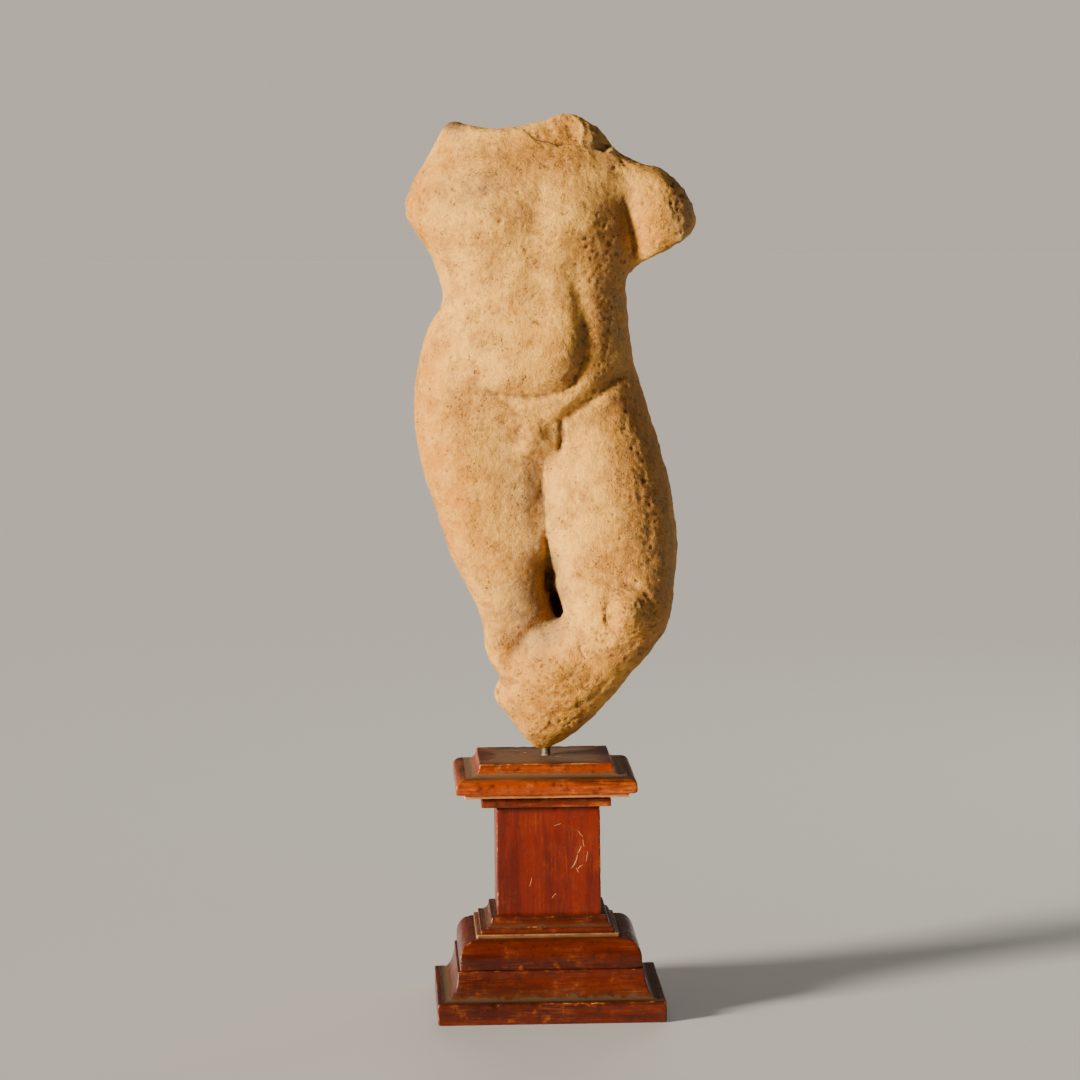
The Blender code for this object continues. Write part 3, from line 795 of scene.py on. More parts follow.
def size_of(node):
    """Half the width of a board, and its height with the seam below it closed."""
    low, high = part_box(node)
    return (high[0] - low[0]) / 2, high[2] - low[2] + (SEAM if low[2] > MM else 0)


def rounded(half, height, ease):
    """The rings of an eased outer arris at the top of a board's flat side."""
    return [(half, height - ease - WEAR_REACH, 0, 0), (half, height - ease, 0.7, 0),
            (half - 0.3 * ease, height - 0.3 * ease, 1.0, 0), (half - ease, height, 0.7, 0),
            (half - ease - WEAR_REACH, height, 0, 0)]


def footing(half, ease, worn=0.6):
    """The rings of a board's lower arris, from under it out to its side."""
    return [(half - ease - WEAR_REACH, 0, 0, 0), (half - ease, 0, 0.4 * worn, 0),
            (half - 0.3 * ease, 0.3 * ease, worn, 0), (half, ease, 0.4 * worn, 0)]


def quarter(start, end, hollow, steps=9):
    """A quarter of an oval from one ring to another, bulging or hollow, with dust low in a hollow."""
    (half, low), (narrow, high) = start, end
    rings = []
    for i in range(steps + 1):
        angle = math.pi / 2 * i / steps
        slow, quick = 1 - math.cos(angle), math.sin(angle)
        if hollow:
            dusty = (1 - i / steps) ** 1.5
            rings.append((half - (half - narrow) * quick, low + (high - low) * slow, 0, dusty))
        else:
            rings.append((half - (half - narrow) * slow, low + (high - low) * quick, 0, 0))
    return rings


def plain_rings(node, ease, above=None):
    """A flat-sided board, dusty round the foot of the board above it where half that one's width is given."""
    half, height = size_of(node)
    ease = min(ease, height / 3)
    rings = footing(half, ease) + rounded(half, height, ease)
    if above:
        rings += [(above + DUST_RIM / 2, height, 0, 0.5), (above, height, 0, 1),
                  (above - 2 * MM, height, 0, 1)]
    return rings


def cove_rings():
    """The hollow moulding on the slab, up to a rubbed lip."""
    half, height = size_of("plinth_cove")
    top = 61.5 * MM
    return ([(half - 3 * MM, 0, 0, 0)] + quarter((half, 0.3 * MM), (top, height - 1.0 * MM), True)
            + [(top, height - 0.5 * MM, 1, 0), (top - 0.5 * MM, height, 0.6, 0),
               (top - 3 * MM, height, 0, 0.6)])


def ovolo_rings():
    """The quarter-round moulding, upright at its foot."""
    half, height = size_of("plinth_ovolo")
    top = half - 11.6 * MM
    return (footing(half, 0.5 * MM, 0.3) + quarter((half, 6.6 * MM), (top, height), False, 12)
            + [(top - 0.8 * MM, height, 0, 0.8), (top - 3 * MM, height, 0, 1)])


def foot_rings():
    """The small hollow moulding round the foot of the die."""
    half, height = size_of("plinth_foot_moulding")
    top = 38.5 * MM
    return ([(half - 2 * MM, 0, 0, 0), (half, 0.05 * MM, 0.6, 0.4), (half, 0.9 * MM, 0.8, 0.2)]
            + quarter((half - 0.3 * MM, 1.2 * MM), (top, height - 0.9 * MM), True, 7)
            + [(top, height - 0.4 * MM, 1, 0), (top - 0.4 * MM, height, 0.7, 0),
               (top - 3 * MM, height, 0, 1), (top - 6 * MM, height, 0, 1)])


def neck_rings():
    """The board at the head of the die, with a dark groove above it."""
    half, height = size_of("plinth_neck_moulding")
    edge = 5.5 * MM
    groove = half - 2.6 * MM
    return (footing(half, 0.6 * MM, 0.8) + rounded(half, edge, 0.6 * MM)
            + [(half - 2.4 * MM, edge, 0, 0.8), (groove, edge + 0.3 * MM, 0, 1),
               (groove, height - 0.1 * MM, 0, 0.6), (half - 4 * MM, height, 0, 0)])


def cap_rings():
    """The moulded top: a round arris, a shelf, a hollow, and a flat top that is dustiest about the pin."""
    half, height = size_of("plinth_cap")
    top, shelf = 44 * MM, 49.9 * MM
    return (footing(half, 0.9 * MM, 0.9)
            + quarter((half, 4.9 * MM), (shelf + 3.6 * MM, 10.5 * MM), False, 8)
            + [(shelf + 2.2 * MM, 10.6 * MM, 0, 0.7)]
            + quarter((shelf, 10.8 * MM), (top, height - 0.9 * MM), True, 8)
            + [(top, height - 0.5 * MM, 1, 0), (top - 0.5 * MM, height, 0.9, 0),
               (top - 2.0 * MM, height, 0, 0.1), (30 * MM, height, 0, 0.5),
               (18 * MM, height, 0, 0.6), (8 * MM, height, 0, 1.0)])


def spaced(rings, longest):
    """The rings with more of them set between those that are far apart."""
    filled = [rings[0]]
    for ring in rings[1:]:
        last = filled[-1]
        parts = max(1, math.ceil(math.hypot(ring[0] - last[0], ring[1] - last[1]) / longest))
        for part in range(1, parts + 1):
            filled.append(tuple(a + (b - a) * part / parts for a, b in zip(last, ring)))
    return filled


def raise_board(name, node, rings, seed):
    """Models a square board: a square outline, extruded and resized ring by ring up its profile."""
    low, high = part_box(node)
    middle = (low[0] + high[0]) / 2
    foot = low[2] - SEAM if low[2] > MM else low[2]
    rings = spaced(rings, WOOD_RISE)
    first = rings[0][0]
    bpy.ops.object.select_all(action="DESELECT")
    bpy.ops.mesh.primitive_circle_add(vertices=4, radius=first * math.sqrt(2), location=(middle, 0, foot),
                                      rotation=(0, 0, math.radians(45)))
    board = bpy.context.object
    board.name = name
    bpy.ops.object.transform_apply(location=True, rotation=True, scale=True)
    bpy.ops.object.mode_set(mode="EDIT")
    bpy.ops.mesh.select_all(action="SELECT")
    bpy.ops.mesh.subdivide(number_cuts=int(2 * rings[len(rings) // 2][0] / WOOD_STEP))
    bpy.ops.mesh.edge_face_add()
    bpy.ops.mesh.normals_make_consistent(inside=False)
    for last, ring in zip(rings, rings[1:]):
        bpy.ops.mesh.extrude_region_move(TRANSFORM_OT_translate={"value": (0, 0, ring[1] - last[1])})
        share = ring[0] / last[0]
        bpy.ops.transform.resize(value=(share, share, 1), center_override=(middle, 0, foot + ring[1]))
    bpy.ops.mesh.select_all(action="SELECT")
    bpy.ops.mesh.normals_make_consistent(inside=False)
    bpy.ops.object.mode_set(mode="OBJECT")
    round_corners(board, middle)
    wear_board(board, rings, middle, foot, seed)
    return board


def round_corners(board, middle):
    """Bevels the four upright arrises."""
    mesh = board.data
    points = read_points(mesh)
    on_corner = np.abs(np.abs(points[:, 0] - middle) - np.abs(points[:, 1])) < 0.02 * MM
    for part in (mesh.vertices, mesh.edges, mesh.polygons):
        part.foreach_set("select", np.zeros(len(part), bool))
    for edge in mesh.edges:
        a, b = edge.vertices
        edge.select = bool(on_corner[a] and on_corner[b])
    bpy.context.tool_settings.mesh_select_mode = (False, True, False)
    bpy.ops.object.mode_set(mode="EDIT")
    bpy.ops.mesh.bevel(offset=WOOD_EASE, segments=3, affect="EDGES")
    bpy.ops.object.mode_set(mode="OBJECT")


def wear_board(board, rings, middle, foot, seed):
    """Dents the arrises, makes the faces a little uneven, and marks what is worn and what is dusty."""
    mesh = board.data
    points, normals = read_points(mesh), read_points(mesh, "normal")
    half = np.maximum(np.abs(points[:, 0] - middle), np.abs(points[:, 1]))
    aside = np.minimum(np.abs(points[:, 0] - middle), np.abs(points[:, 1]))
    table = np.array(rings)
    gap = np.hypot(half[:, None] - table[:, 0], points[:, 2:3] - foot - table[:, 1])
    nearest = gap.argmin(axis=1)
    corner = np.exp(-((half - aside) / (1.6 * MM)) ** 2)
    worn = np.maximum(table[nearest, 2], corner)
    draw = np.random.default_rng(seed)
    edge_points = np.flatnonzero(worn > 0.6)
    thin = min(1.0, table[:, 1].max() / (12 * MM))
    for middle_point in draw.choice(edge_points, BOARD_DENTS):
        radius = draw.uniform(1.0, 2.8) * MM * max(0.4, thin)
        sink = draw.uniform(0.06, 0.22) * radius
        distance = np.linalg.norm(points - points[middle_point], axis=1)
        near = np.flatnonzero(distance < radius)
        points[near] -= normals[near] * (sink * (1 - (distance[near] / radius) ** 2))[:, None]
        worn[near] = np.maximum(worn[near], 1 - distance[near] / radius)
    move_points(mesh, points)
    uneven(board, "hand worked", 26 * MM, (0.10 + 0.22 * thin) * MM)
    uneven(board, "fine waves", 7 * MM, 0.08 * MM)
    paint(mesh, "worn", worn)
    paint(mesh, "dusty", table[nearest, 3])


def make_plinth():
    """The plinth's boards from the floor up."""
    # Three copies of the stain, lightest at the cap and darkest at the foot: partly painted light
    stained = stained_wood("stained_wood_foot", "foot")
    stained_die = stained_wood("stained_wood_die", "die")
    stained_cap = stained_wood("stained_wood_cap", "cap")
    rubbed_ledge = worn_strip("rubbed_ledge", 0.46)
    # The strip under the cap is made 1.75 times as light: painted light where the cap shades it
    rubbed_strip_painted_light = worn_strip("rubbed_strip_painted_light", 1.75)
    slab = plain_rings("plinth_slab", 0.9 * MM, size_of("plinth_cove")[0])
    step = plain_rings("plinth_step", 0.6 * MM, size_of("plinth_foot_moulding")[0])
    boards = (
        ("slab_board", "plinth_slab", slab, stained, "stained_wood"),
        ("cove_board", "plinth_cove", cove_rings(), stained, "stained_wood"),
        ("ovolo_board", "plinth_ovolo", ovolo_rings(), stained, "stained_wood"),
        ("ledge_strip", "plinth_ledge", plain_rings("plinth_ledge", 0.5 * MM), rubbed_ledge, "worn_wood"),
        ("step_board", "plinth_step", step, stained, "stained_wood"),
        ("foot_board", "plinth_foot_moulding", foot_rings(), stained, "stained_wood"),
        ("die_block", "plinth_die", plain_rings("plinth_die", 0.7 * MM), stained_die, "stained_wood"),
        ("neck_board", "plinth_neck_moulding", neck_rings(), stained_cap, "stained_wood"),
        ("cap_strip", "plinth_strip", plain_rings("plinth_strip", 0.6 * MM), rubbed_strip_painted_light, "worn_wood"),
        ("cap_board", "plinth_cap", cap_rings(), stained_cap, "stained_wood"),
    )
    for seed, (name, node, rings, finish, finish_slot) in enumerate(boards, FIRST_BOARD_SEED):
        board = raise_board(name, node, rings, seed)
        work_on(board)
        bpy.ops.object.shade_smooth_by_angle(angle=SHARP_ANGLE)
        board.data.materials.append(finish)
        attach(board, "root")
        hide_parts(node)


# The pin


def make_pin():
    """The steel rod between the plinth and the stone, with eased ends and a dusty foot."""
    low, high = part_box("mounting_pin")
    cap_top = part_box("plinth_cap")[1][2]
    bpy.ops.object.select_all(action="DESELECT")
    bpy.ops.mesh.primitive_cylinder_add(vertices=48, radius=(high[0] - low[0]) / 2, depth=high[2] - low[2],
                                        location=(0, 0, (low[2] + high[2]) / 2))
    pin = bpy.context.object
    pin.name = "steel_pin"
    bpy.ops.object.transform_apply(location=True, rotation=True, scale=True)
    finish_with(pin, "eased ends", "BEVEL", width=0.5 * MM, segments=3, limit_method="ANGLE")
    bpy.ops.object.mode_set(mode="EDIT")
    for height in (cap_top + 0.6 * MM, cap_top + 3.4 * MM):
        bpy.ops.mesh.select_all(action="SELECT")
        bpy.ops.mesh.bisect(plane_co=(0, 0, height), plane_no=(0, 0, 1))
    bpy.ops.object.mode_set(mode="OBJECT")
    bpy.ops.object.shade_smooth_by_angle(angle=SHARP_ANGLE)
    points = read_points(pin.data)
    paint(pin.data, "dusty", np.clip(1 - (points[:, 2] - cap_top) / (4 * MM), 0, 1))
    pin.data.materials.append(dull_steel())
    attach(pin, "root")
    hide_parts("mounting_pin")


# Building blocks of the materials


class Pattern:
    """A number, place or colour that changes over a surface. Arithmetic on it adds nodes to its material."""

    def __init__(self, tree, socket):
        self.tree = tree
        self.socket = socket

    def __add__(self, other):
        return reckon(self.tree, "ADD", self, other)

    def __sub__(self, other):
        return reckon(self.tree, "SUBTRACT", self, other)

    def __rsub__(self, other):
        return reckon(self.tree, "SUBTRACT", other, self)

    def __mul__(self, other):
        return reckon(self.tree, "MULTIPLY", self, other)

    def __truediv__(self, other):
        return reckon(self.tree, "DIVIDE", self, other)

    def __pow__(self, other):
        return reckon(self.tree, "POWER", self, other)

    def __abs__(self):
        return reckon(self.tree, "ABSOLUTE", self, 0.0)

    def between(self, low, high, bottom=0.0, top=1.0):
        """The bottom value below low, the top value above high, and smooth between."""
        node = self.tree.nodes.new("ShaderNodeMapRange")
        node.interpolation_type = "SMOOTHSTEP"
        for name, value in (("Value", self), ("From Min", low), ("From Max", high), ("To Min", bottom),
                            ("To Max", top)):
            feed(self.tree, node.inputs[name], value)
        return Pattern(self.tree, node.outputs["Result"])


def feed(tree, socket, value):
    """Sets a socket, or links a pattern to it."""
    if isinstance(value, Pattern):
        tree.links.new(value.socket, socket)
    elif isinstance(value, tuple) and len(value) == 3 and socket.type == "RGBA":
        socket.default_value = (*value, 1.0)
    else:
        socket.default_value = value


def reckon(tree, way, first, second):
    """One step of arithmetic."""
    node = tree.nodes.new("ShaderNodeMath")
    node.operation = way
    feed(tree, node.inputs[0], first)
    feed(tree, node.inputs[1], second)
    return Pattern(tree, node.outputs[0])


def noise(tree, place, scale, detail=3.0, roughness=0.5, distortion=0.0):
    """A soft random pattern from 0 to 1."""
    node = tree.nodes.new("ShaderNodeTexNoise")
    for name, value in (("Vector", place), ("Scale", scale), ("Detail", detail), ("Roughness", roughness),
                        ("Distortion", distortion)):
        feed(tree, node.inputs[name], value)
    return Pattern(tree, node.outputs["Fac"])


def cells(tree, place, scale):
    """Distance from the nearest of many scattered spots."""
    node = tree.nodes.new("ShaderNodeTexVoronoi")
    feed(tree, node.inputs["Vector"], place)
    feed(tree, node.inputs["Scale"], scale)
    return Pattern(tree, node.outputs["Distance"])


def colour_mix(tree, amount, first, second, way="MIX"):
    """Two colours mixed by an amount from 0 to 1."""
    node = tree.nodes.new("ShaderNodeMix")
    node.data_type = "RGBA"
    node.blend_type = way
    feed(tree, node.inputs[0], amount)
    feed(tree, node.inputs[6], first)
    feed(tree, node.inputs[7], second)
    return Pattern(tree, node.outputs[2])


def mark(tree, name):
    """A number that was painted on the mesh."""
    node = tree.nodes.new("ShaderNodeAttribute")
    node.attribute_name = name
    return Pattern(tree, node.outputs["Fac"])


def stretched(tree, place, scale):
    """Coordinates stretched along each axis."""
    node = tree.nodes.new("ShaderNodeMapping")
    feed(tree, node.inputs["Vector"], place)
    node.inputs["Scale"].default_value = scale
    return Pattern(tree, node.outputs["Vector"])


def object_place(tree, scale=(1, 1, 1)):
    """Coordinates on the object, in metres, stretched along each axis."""
    return stretched(tree, Pattern(tree, tree.nodes.new("ShaderNodeTexCoord").outputs["Object"]), scale)


def bent_place(tree, place, scale, reach):
    """The same coordinates pushed about a little, so that what is laid on them is irregular."""
    node = tree.nodes.new("ShaderNodeTexNoise")
    feed(tree, node.inputs["Vector"], place)
    node.inputs["Scale"].default_value = scale
    push = tree.nodes.new("ShaderNodeVectorMath")
    push.operation = "MULTIPLY_ADD"
    tree.links.new(node.outputs["Color"], push.inputs[0])
    push.inputs[1].default_value = (2 * reach, 2 * reach, 2 * reach)
    feed(tree, push.inputs[2], place)
    return Pattern(tree, push.outputs[0])


def axes_of(tree, place):
    """The X, Y and Z of a place or a direction."""
    node = tree.nodes.new("ShaderNodeSeparateXYZ")
    feed(tree, node.inputs[0], place)
    return [Pattern(tree, socket) for socket in node.outputs]


def looks(tree):
    """How far the surface looks along X, along Y and along Z."""
    return axes_of(tree, Pattern(tree, tree.nodes.new("ShaderNodeNewGeometry").outputs["Normal"]))


def new_finish(name, **constants):
    """A material with a Principled shader that has some sockets set."""
    material = bpy.data.materials.new(name)
    material.use_nodes = True
    shader = material.node_tree.nodes["Principled BSDF"]
    for socket, value in constants.items():
        shader.inputs[socket.replace("_", " ")].default_value = value
    return material, material.node_tree, shader


def dress(tree, shader, colour, roughness, height, strength, distance):
    """Gives a shader its colour, its roughness and a bump from a height pattern."""
    bump = tree.nodes.new("ShaderNodeBump")
    bump.inputs["Strength"].default_value = strength
    bump.inputs["Distance"].default_value = distance
    feed(tree, bump.inputs["Height"], height)
    feed(tree, shader.inputs["Base Color"], colour)
    feed(tree, shader.inputs["Roughness"], roughness)
    tree.links.new(bump.outputs["Normal"], shader.inputs["Normal"])


def new_group(name, takes, gives):
    """An empty node group, the patterns that it takes, and the node that gives its results."""
    group = bpy.data.node_groups.new(name, "ShaderNodeTree")
    for way, sockets in (("INPUT", takes), ("OUTPUT", gives)):
        for label, kind in sockets.items():
            group.interface.new_socket(label.replace("_", " "), in_out=way, socket_type="NodeSocket" + kind)
    given = group.nodes.new("NodeGroupInput")
    return group, patterns_of(group, given), group.nodes.new("NodeGroupOutput")


def patterns_of(tree, node):
    """What a node gives, by name."""
    return {socket.name: Pattern(tree, socket) for socket in node.outputs}


def feed_all(tree, node, **values):
    """Sets or links a node's inputs by name."""
    for label, value in values.items():
        feed(tree, node.inputs[label.replace("_", " ")], value)


def place_group(tree, make, **values):
    """Puts a group, built the first time that it is asked for, into a material. Returns what it gives."""
    node = tree.nodes.new("ShaderNodeGroup")
    node.node_tree = bpy.data.node_groups.get(make.__name__) or make(make.__name__)
    feed_all(tree, node, **values)
    return patterns_of(tree, node)


def settled_dust(name):
    """Grey-brown dust where the surface is marked dusty, and a thin film where it looks up."""
    group, given, result = new_group(
        name, dict(Colour="Color", Dust="Color", Place="Vector", Dusty="Float", Film="Float"),
        dict(Colour="Color", Cover="Float"))
    upward = looks(group)[2].between(0.35, 0.95)
    clumps = noise(group, given["Place"], 120.0, 5.0, 0.62)
    wish = given["Dusty"] + upward * given["Film"]
    level = 0.86 - wish * 0.62
    patchy = clumps.between(level, level + 0.22) * 0.75 + wish * 0.35
    cover = reckon(group, "MINIMUM", patchy, 0.92) * wish.between(0.0, 0.35)
    feed_all(group, result, Colour=colour_mix(group, cover, given["Colour"], given["Dust"]), Cover=cover)
    return group


def rubbed_arris(name):
    """Stain rubbed off along the arrises, in broken patches."""
    group, given, result = new_group(
        name, dict(Colour="Color", Bare="Color", Place="Vector", Worn="Float", Amount="Float"),
        dict(Colour="Color", Rubbed="Float"))
    patches = noise(group, given["Place"], 210.0, 4.0, 0.6)
    broad = noise(group, given["Place"], 34.0, 2.0, 0.5)
    wish = given["Worn"] * given["Amount"]
    level = 0.80 - wish * 0.46
    rubbed = (patches * 0.55 + broad * 0.45).between(level, level + 0.13) * wish.between(0.05, 0.5)
    feed_all(group, result, Colour=colour_mix(group, rubbed, given["Colour"], given["Bare"]), Rubbed=rubbed)
    return group


def wood_figure(name):
    """Grain along X of the coordinates given: broad bands, fine lines and dark pores."""
    group, given, result = new_group(
        name, dict(Place="Vector"), dict(Bands="Float", Lines="Float", Pores="Float", Height="Float"))

    def grain(along, across, detail, roughness, distortion=0.0):
        place = stretched(group, given["Place"], (along, across, across))
        return noise(group, place, 1.0, detail, roughness, distortion)

    bands = grain(7.0, 75.0, 5.0, 0.6, 0.5)
    lines = grain(45.0, 700.0, 5.0, 0.7, 0.3)
    pores = grain(210.0, 2300.0, 2.0, 0.5).between(0.58, 0.72)
    feed_all(group, result, Bands=bands, Lines=lines, Pores=pores, Height=lines * 0.6 - pores * 0.5)
    return group


def scratch(name):
    """One curved scratch in the plane of X and Z: 1 on the scratch and 0 off it."""
    group, given, result = new_group(
        name, dict(Place="Vector", Half_Length="Float", Half_Width="Float", Bend="Float"), dict(Mark="Float"))
    along, _, across = axes_of(group, given["Place"])
    bow = along * along * given["Bend"]
    wobble = (noise(group, given["Place"], 300.0) - 0.5) * (1.2 * MM)
    far = abs(along / given["Half Length"]) ** 2.0
    off = abs((across - bow + wobble) / given["Half Width"]) ** 2.0
    feed_all(group, result, Mark=(far + off).between(1.0, 0.45))
    return group


# The materials


def limestone():
    """Weathered limestone: cream and tan, ochre stains, brown patina, grey weathering, granules, specks, with
    painted shade, painted highlight and a paler painted back.
    """
    material, tree, shader = new_finish("weathered_limestone", Specular_IOR_Level=0.2)
    place = object_place(tree)
    drift = noise(tree, place, 24.0, 5.0, 0.60)
    mottle = noise(tree, place, 95.0, 8.0, 0.72)
    patches = noise(tree, place, 52.0, 6.0, 0.66)
    blotches = noise(tree, place, 170.0, 6.0, 0.68)
    grit = noise(tree, place, 900.0, 3.0, 0.65)
    warped = bent_place(tree, place, 210.0, 0.9 * MM)
    granules = cells(tree, warped, 300.0)
    crumbs = cells(tree, warped, 800.0)

    patina = (mark(tree, "patina") + (drift + patches * 0.9 + mottle * 1.1 - 1.50)).between(0.0, 1.05)
    worked = patina * 0.55 + mark(tree, "rough") * 0.5
    likely = mottle.between(0.40, 0.67, 0.03, 0.33) + worked * 0.12
    dots = (likely - granules).between(0.0, 0.14)
    specks = (likely - crumbs).between(0.0, 0.12)

    # What lies over the stone's own cream and brown, one over the other, painted light and shade among it:
    # how much of it, and its colour
    stain = patches.between(0.42, 0.60) * mottle.between(0.34, 0.58, 0.2, 1.0)
    fresh = mark(tree, "broken") * mottle.between(0.36, 0.60)
    pale = grit.between(0.48, 0.72) * mottle.between(0.40, 0.66, 0.2, 1.0)
    ochre = mark(tree, "ochre") * patches.between(0.34, 0.58, 0.45, 1.0)
    blotch = blotches.between(0.48, 0.66) * worked.between(0.0, 0.7, 0.34, 0.95)
    # Grey weathering, and painted grey shade where the stone turns from the light and in the slit
    grey = mark(tree, "grey") * mottle.between(0.35, 0.62, 0.50, 1.0)
    # Darker in the hollows, and painted shade in the armpit, the creases and the slit between the legs
    shade_and_dark_hollows = mark(tree, "hollow") * grit.between(0.3, 0.6, 0.6, 1.0)
    colour = colour_mix(tree, patina, (0.95, 0.465, 0.070), (0.45, 0.165, 0.022))
    for amount, tone, *way in (
            (stain * 0.85, (0.55, 0.225, 0.041)),
            (fresh * 0.45, (0.60, 0.235, 0.030)),
            (pale * 0.45, (0.97, 0.56, 0.125)),
            (grit.between(0.50, 0.34) * 0.32, (0.50, 0.205, 0.038)),
            (ochre * 0.95, (0.66, 0.240, 0.017), "DARKEN"),
            # Painted light: the back, lit more dimly, is made paler and less orange
            (mark(tree, "behind") * 0.55, (0.86, 0.50, 0.190)),
            (blotch * 0.68, (0.30, 0.110, 0.018)),
            (dots * 0.55, (0.20, 0.072, 0.014)),
            (specks * 0.70, (0.13, 0.046, 0.011)),
            (mark(tree, "ridge_highlight_and_nicks") * 0.38, (0.97, 0.55, 0.120)),
            # Grey weathering and painted shade
            (grey * 0.70, (0.34, 0.225, 0.110)),
            (shade_and_dark_hollows * 0.82, (0.100, 0.060, 0.031))):
        colour = colour_mix(tree, amount, colour, tone, *way)
    height = mottle * 1.4 + granules * 0.25 - dots * 0.4 + grit * 0.60 - specks * 0.5
    dress(tree, shader, colour, grit.between(0.2, 0.8, 0.80, 0.97), height, 1.0, 1.25 * MM)
    return material


def grain_place(tree, upright):
    """Coordinates, and the same with X along the grain: up the die, and along each side of a level board."""
    place = Pattern(tree, tree.nodes.new("ShaderNodeTexCoord").outputs["Object"])
    x, y, z = axes_of(tree, place)

    def joined(*parts):
        node = tree.nodes.new("ShaderNodeCombineXYZ")
        for socket, value in zip(node.inputs, parts):
            feed(tree, socket, value)
        return Pattern(tree, node.outputs[0])

    if upright:
        return place, joined(z, x, y)
    node = tree.nodes.new("ShaderNodeMix")
    node.data_type = "VECTOR"
    feed(tree, node.inputs[0], reckon(tree, "GREATER_THAN", abs(looks(tree)[0]), 0.5))
    feed(tree, node.inputs[4], joined(x, y, z))
    feed(tree, node.inputs[5], joined(y, x, z))
    return place, Pattern(tree, node.outputs[1])


def aged(tree, colour, place, bare, amount, dust, film):
    """The colour rubbed along the arrises and then dusted, what is rubbed, and what the dust covers."""
    rubs = place_group(tree, rubbed_arris, Colour=colour, Bare=bare, Place=place, Worn=mark(tree, "worn"),
                       Amount=amount)
    settled = place_group(tree, settled_dust, Colour=rubs["Colour"], Dust=dust, Place=place,
                          Dusty=mark(tree, "dusty"), Film=film)
    return settled["Colour"], rubs["Rubbed"], settled["Cover"]


def stained_wood(name, part):
    """Red-brown stained and polished wood, rubbed to orange along the arrises, dusty in the hollows, and on
    the cap a top darkened by painted shade and dark reflection.
    """
    deep, red, orange, flecks, bare, amount, dust, film = WOOD_TONES[part]
    material, tree, shader = new_finish(name, Coat_Roughness=0.24, Specular_IOR_Level=0.3)
    place, along = grain_place(tree, part == "die")
    figure = place_group(tree, wood_figure, Place=along)
    patches = noise(tree, place, 46.0, 4.0, 0.6)
    mottle = noise(tree, along, 190.0, 5.0, 0.7)
    light = figure["Lines"].between(0.46, 0.70) * patches.between(0.40, 0.64, 0.12, 1.0)
    flecked = mottle.between(0.55, 0.68) * patches.between(0.44, 0.60)
    colour = colour_mix(tree, figure["Bands"].between(0.36, 0.62), deep, red)
    for amount_of, tone in (
            (light * 0.55, orange),
            (flecked * flecks, orange),
            (mottle.between(0.47, 0.34) * flecks, (0.030, 0.0060, 0.0020)),
            (figure["Pores"] * 0.40, (0.020, 0.004, 0.0015))):
        colour = colour_mix(tree, amount_of, colour, tone)
    if part == "cap":
        # Painted shade and dark reflection on the cap's top, in cloudy patches where it looks up
        clouds = noise(tree, place, 30.0, 4.0, 0.6)
        painted_top_shade = looks(tree)[2].between(0.7, 0.98) * clouds.between(0.38, 0.55, 0.35, 0.9)
        colour = colour_mix(tree, painted_top_shade, colour, (0.030, 0.010, 0.003))
    colour, rubbed, cover = aged(tree, colour, place, bare, amount, dust, film)
    height = figure["Height"]
    if part == "die":
        marks = die_scratches(tree, place)
        colour = colour_mix(tree, marks * 0.8, colour, (0.62, 0.25, 0.075))
        height = height - marks * 1.5
    rough = patches.between(0.3, 0.7, 0.24, 0.40) + cover * 0.45 + rubbed * 0.12
    feed(tree, shader.inputs["Coat Weight"], (1.0 - cover) * 0.1)
    dress(tree, shader, colour, rough, height + mottle * 0.6, 0.45, 0.2 * MM)
    return material


def die_scratches(tree, place):
    """1 on the pale scratches in the die's front."""
    together = None
    for across, height, turn, half_length, half_width, bend in DIE_SCRATCHES:
        node = tree.nodes.new("ShaderNodeMapping")
        node.vector_type = "TEXTURE"
        feed(tree, node.inputs["Vector"], place)
        node.inputs["Location"].default_value = (across * MM, 0, height * MM)
        node.inputs["Rotation"].default_value = (0, math.radians(-turn), 0)
        stroke = place_group(tree, scratch, Place=Pattern(tree, node.outputs["Vector"]),
                             Half_Length=half_length * MM, Half_Width=half_width * MM, Bend=bend)["Mark"]
        together = stroke if together is None else reckon(tree, "MAXIMUM", together, stroke)
    return together * looks(tree)[1].between(-0.6, -0.8)


def worn_strip(name, tone):
    """A thin strip of the same wood with most of its stain rubbed off to a dusty tan, as light as asked,
    which for the strip under the cap is painted light.
    """
    material, tree, shader = new_finish(name)
    place, along = grain_place(tree, False)
    figure = place_group(tree, wood_figure, Place=along)

    def toned(*colour):
        return tuple(tone * part for part in colour)

    colour = colour_mix(tree, figure["Lines"].between(0.35, 0.65), toned(0.22, 0.060, 0.012),
                        toned(0.42, 0.140, 0.032))
    colour, _, cover = aged(tree, colour, place, toned(0.62, 0.30, 0.10), 1.1, toned(0.25, 0.145, 0.070), 0.5)
    dress(tree, shader, colour, cover.between(0.0, 1.0, 0.48, 0.85), figure["Height"], 0.4, 0.12 * MM)
    return material


def dull_steel():
    """A steel rod gone dull, with dust about its foot."""
    material, tree, shader = new_finish("dull_steel")
    turned = noise(tree, object_place(tree, (1, 1, 12)), 180.0, 3.0, 0.6)
    colour = colour_mix(tree, turned.between(0.35, 0.65), (0.10, 0.080, 0.060), (0.20, 0.16, 0.12))
    dust = place_group(tree, settled_dust, Colour=colour, Dust=(0.24, 0.14, 0.07), Place=object_place(tree),
                       Dusty=mark(tree, "dusty"), Film=0.4)
    feed(tree, shader.inputs["Metallic"], 1.0 - dust["Cover"])
    dress(tree, shader, dust["Colour"], turned.between(0.3, 0.7, 0.50, 0.70), turned, 0.2, 0.1 * MM)
    return material


# Floor, light and camera


def light_way(turn, rise):
    """The way from the object to a light so far round from the front, and so high."""
    level = math.cos(rise)
    return Vector((-math.sin(turn) * level, -math.cos(turn) * level, math.sin(rise)))


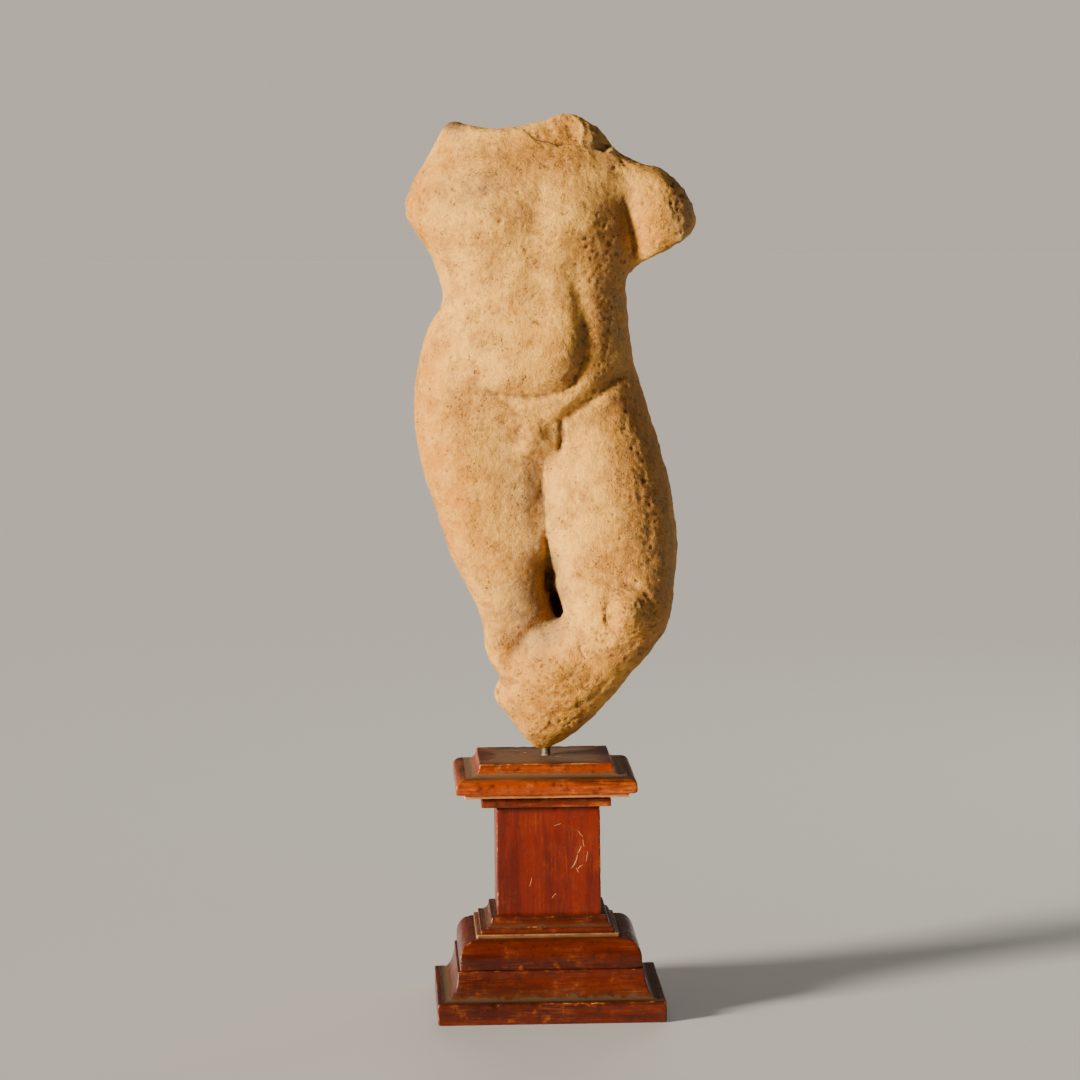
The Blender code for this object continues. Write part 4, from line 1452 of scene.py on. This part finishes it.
# Each soft sun: name, way to it, strength, colour, and how wide it is in degrees
SUNS = (
    ("key", light_way(KEY_TURN, KEY_RISE), KEY_LIGHT, KEY_COLOUR, 15),
    ("back", light_way(BACK_TURN, BACK_RISE), BACK_LIGHT, BACK_COLOUR, 30),
)
# Each soft lamp: name, place, width, power
LAMPS = (
    ("fill", (1.9, -1.3, 0.6), 1.4, 1.2),
    ("rim", (1.3, 1.2, 0.9), 0.9, 3.5),
)
LAMP_AIM = Vector((0, 0, 0.33))


def add_light(name, kind, power, way):
    """A light that shines against the given way."""
    light = bpy.data.lights.new(name, kind)
    light.energy = power
    lamp = bpy.data.objects.new(name, light)
    bpy.context.scene.collection.objects.link(lamp)
    lamp.rotation_euler = (-way).to_track_quat("-Z", "Y").to_euler()
    return lamp


def lay_floor():
    """The plain pale floor, and the room round it in the floor's own lit colour."""
    bpy.ops.object.select_all(action="DESELECT")
    bpy.ops.mesh.primitive_plane_add(size=30.0, location=(0, 0, -0.2 * MM))
    floor = bpy.context.object
    floor.name = "floor"
    material, tree, shader = new_finish("pale_floor", Roughness=0.9)
    feed(tree, shader.inputs["Base Color"], FLOOR_COLOUR)
    floor.data.materials.append(material)

    world = bpy.context.scene.world or bpy.data.worlds.new("studio")
    bpy.context.scene.world = world
    world.use_nodes = True
    tree = world.node_tree
    seen = Pattern(tree, tree.nodes.new("ShaderNodeLightPath").outputs["Is Camera Ray"])
    room = tuple(ROOM_LIGHT * part for part in ROOM_COLOUR)
    sunlight = [sum(power * way.z / math.pi * colour[i] for _, way, power, colour, _ in SUNS)
                for i in range(3)]
    far_floor = tuple(part * (dim + sun) for part, dim, sun in zip(FLOOR_COLOUR, room, sunlight))
    feed(tree, tree.nodes["Background"].inputs["Color"], colour_mix(tree, seen, room, far_floor))


def set_the_stage():
    """A plain pale floor, soft studio light from the left, and the camera."""
    lay_floor()
    for name, way, power, colour, width in SUNS:
        sun = add_light(name, "SUN", power, way)
        sun.data.angle = math.radians(width)
        sun.data.color = colour
        sun.visible_glossy = name == "key"
    for name, place, width, power in LAMPS:
        lamp = add_light(name, "AREA", power, Vector(place) - LAMP_AIM)
        lamp.data.size = width
        lamp.location = place

    camera = bpy.data.cameras.new("camera")
    camera.lens = CAMERA_LENS
    camera.sensor_width = SENSOR_WIDTH
    eye = bpy.data.objects.new("camera", camera)
    bpy.context.scene.collection.objects.link(eye)
    turn = (Matrix.Rotation(CAMERA_TURN + CAMERA_AIM, 4, "Z")
            @ Matrix.Rotation(math.pi / 2 - CAMERA_DIP, 4, "X")
            @ Matrix.Rotation(CAMERA_ROLL, 4, "Z"))
    spot = Vector((math.sin(CAMERA_TURN) * CAMERA_DISTANCE, -math.cos(CAMERA_TURN) * CAMERA_DISTANCE,
                   CAMERA_HEIGHT))
    eye.matrix_world = Matrix.Translation(spot) @ turn
    bpy.context.scene.camera = eye


carve_torso()
make_plinth()
make_pin()
set_the_stage()
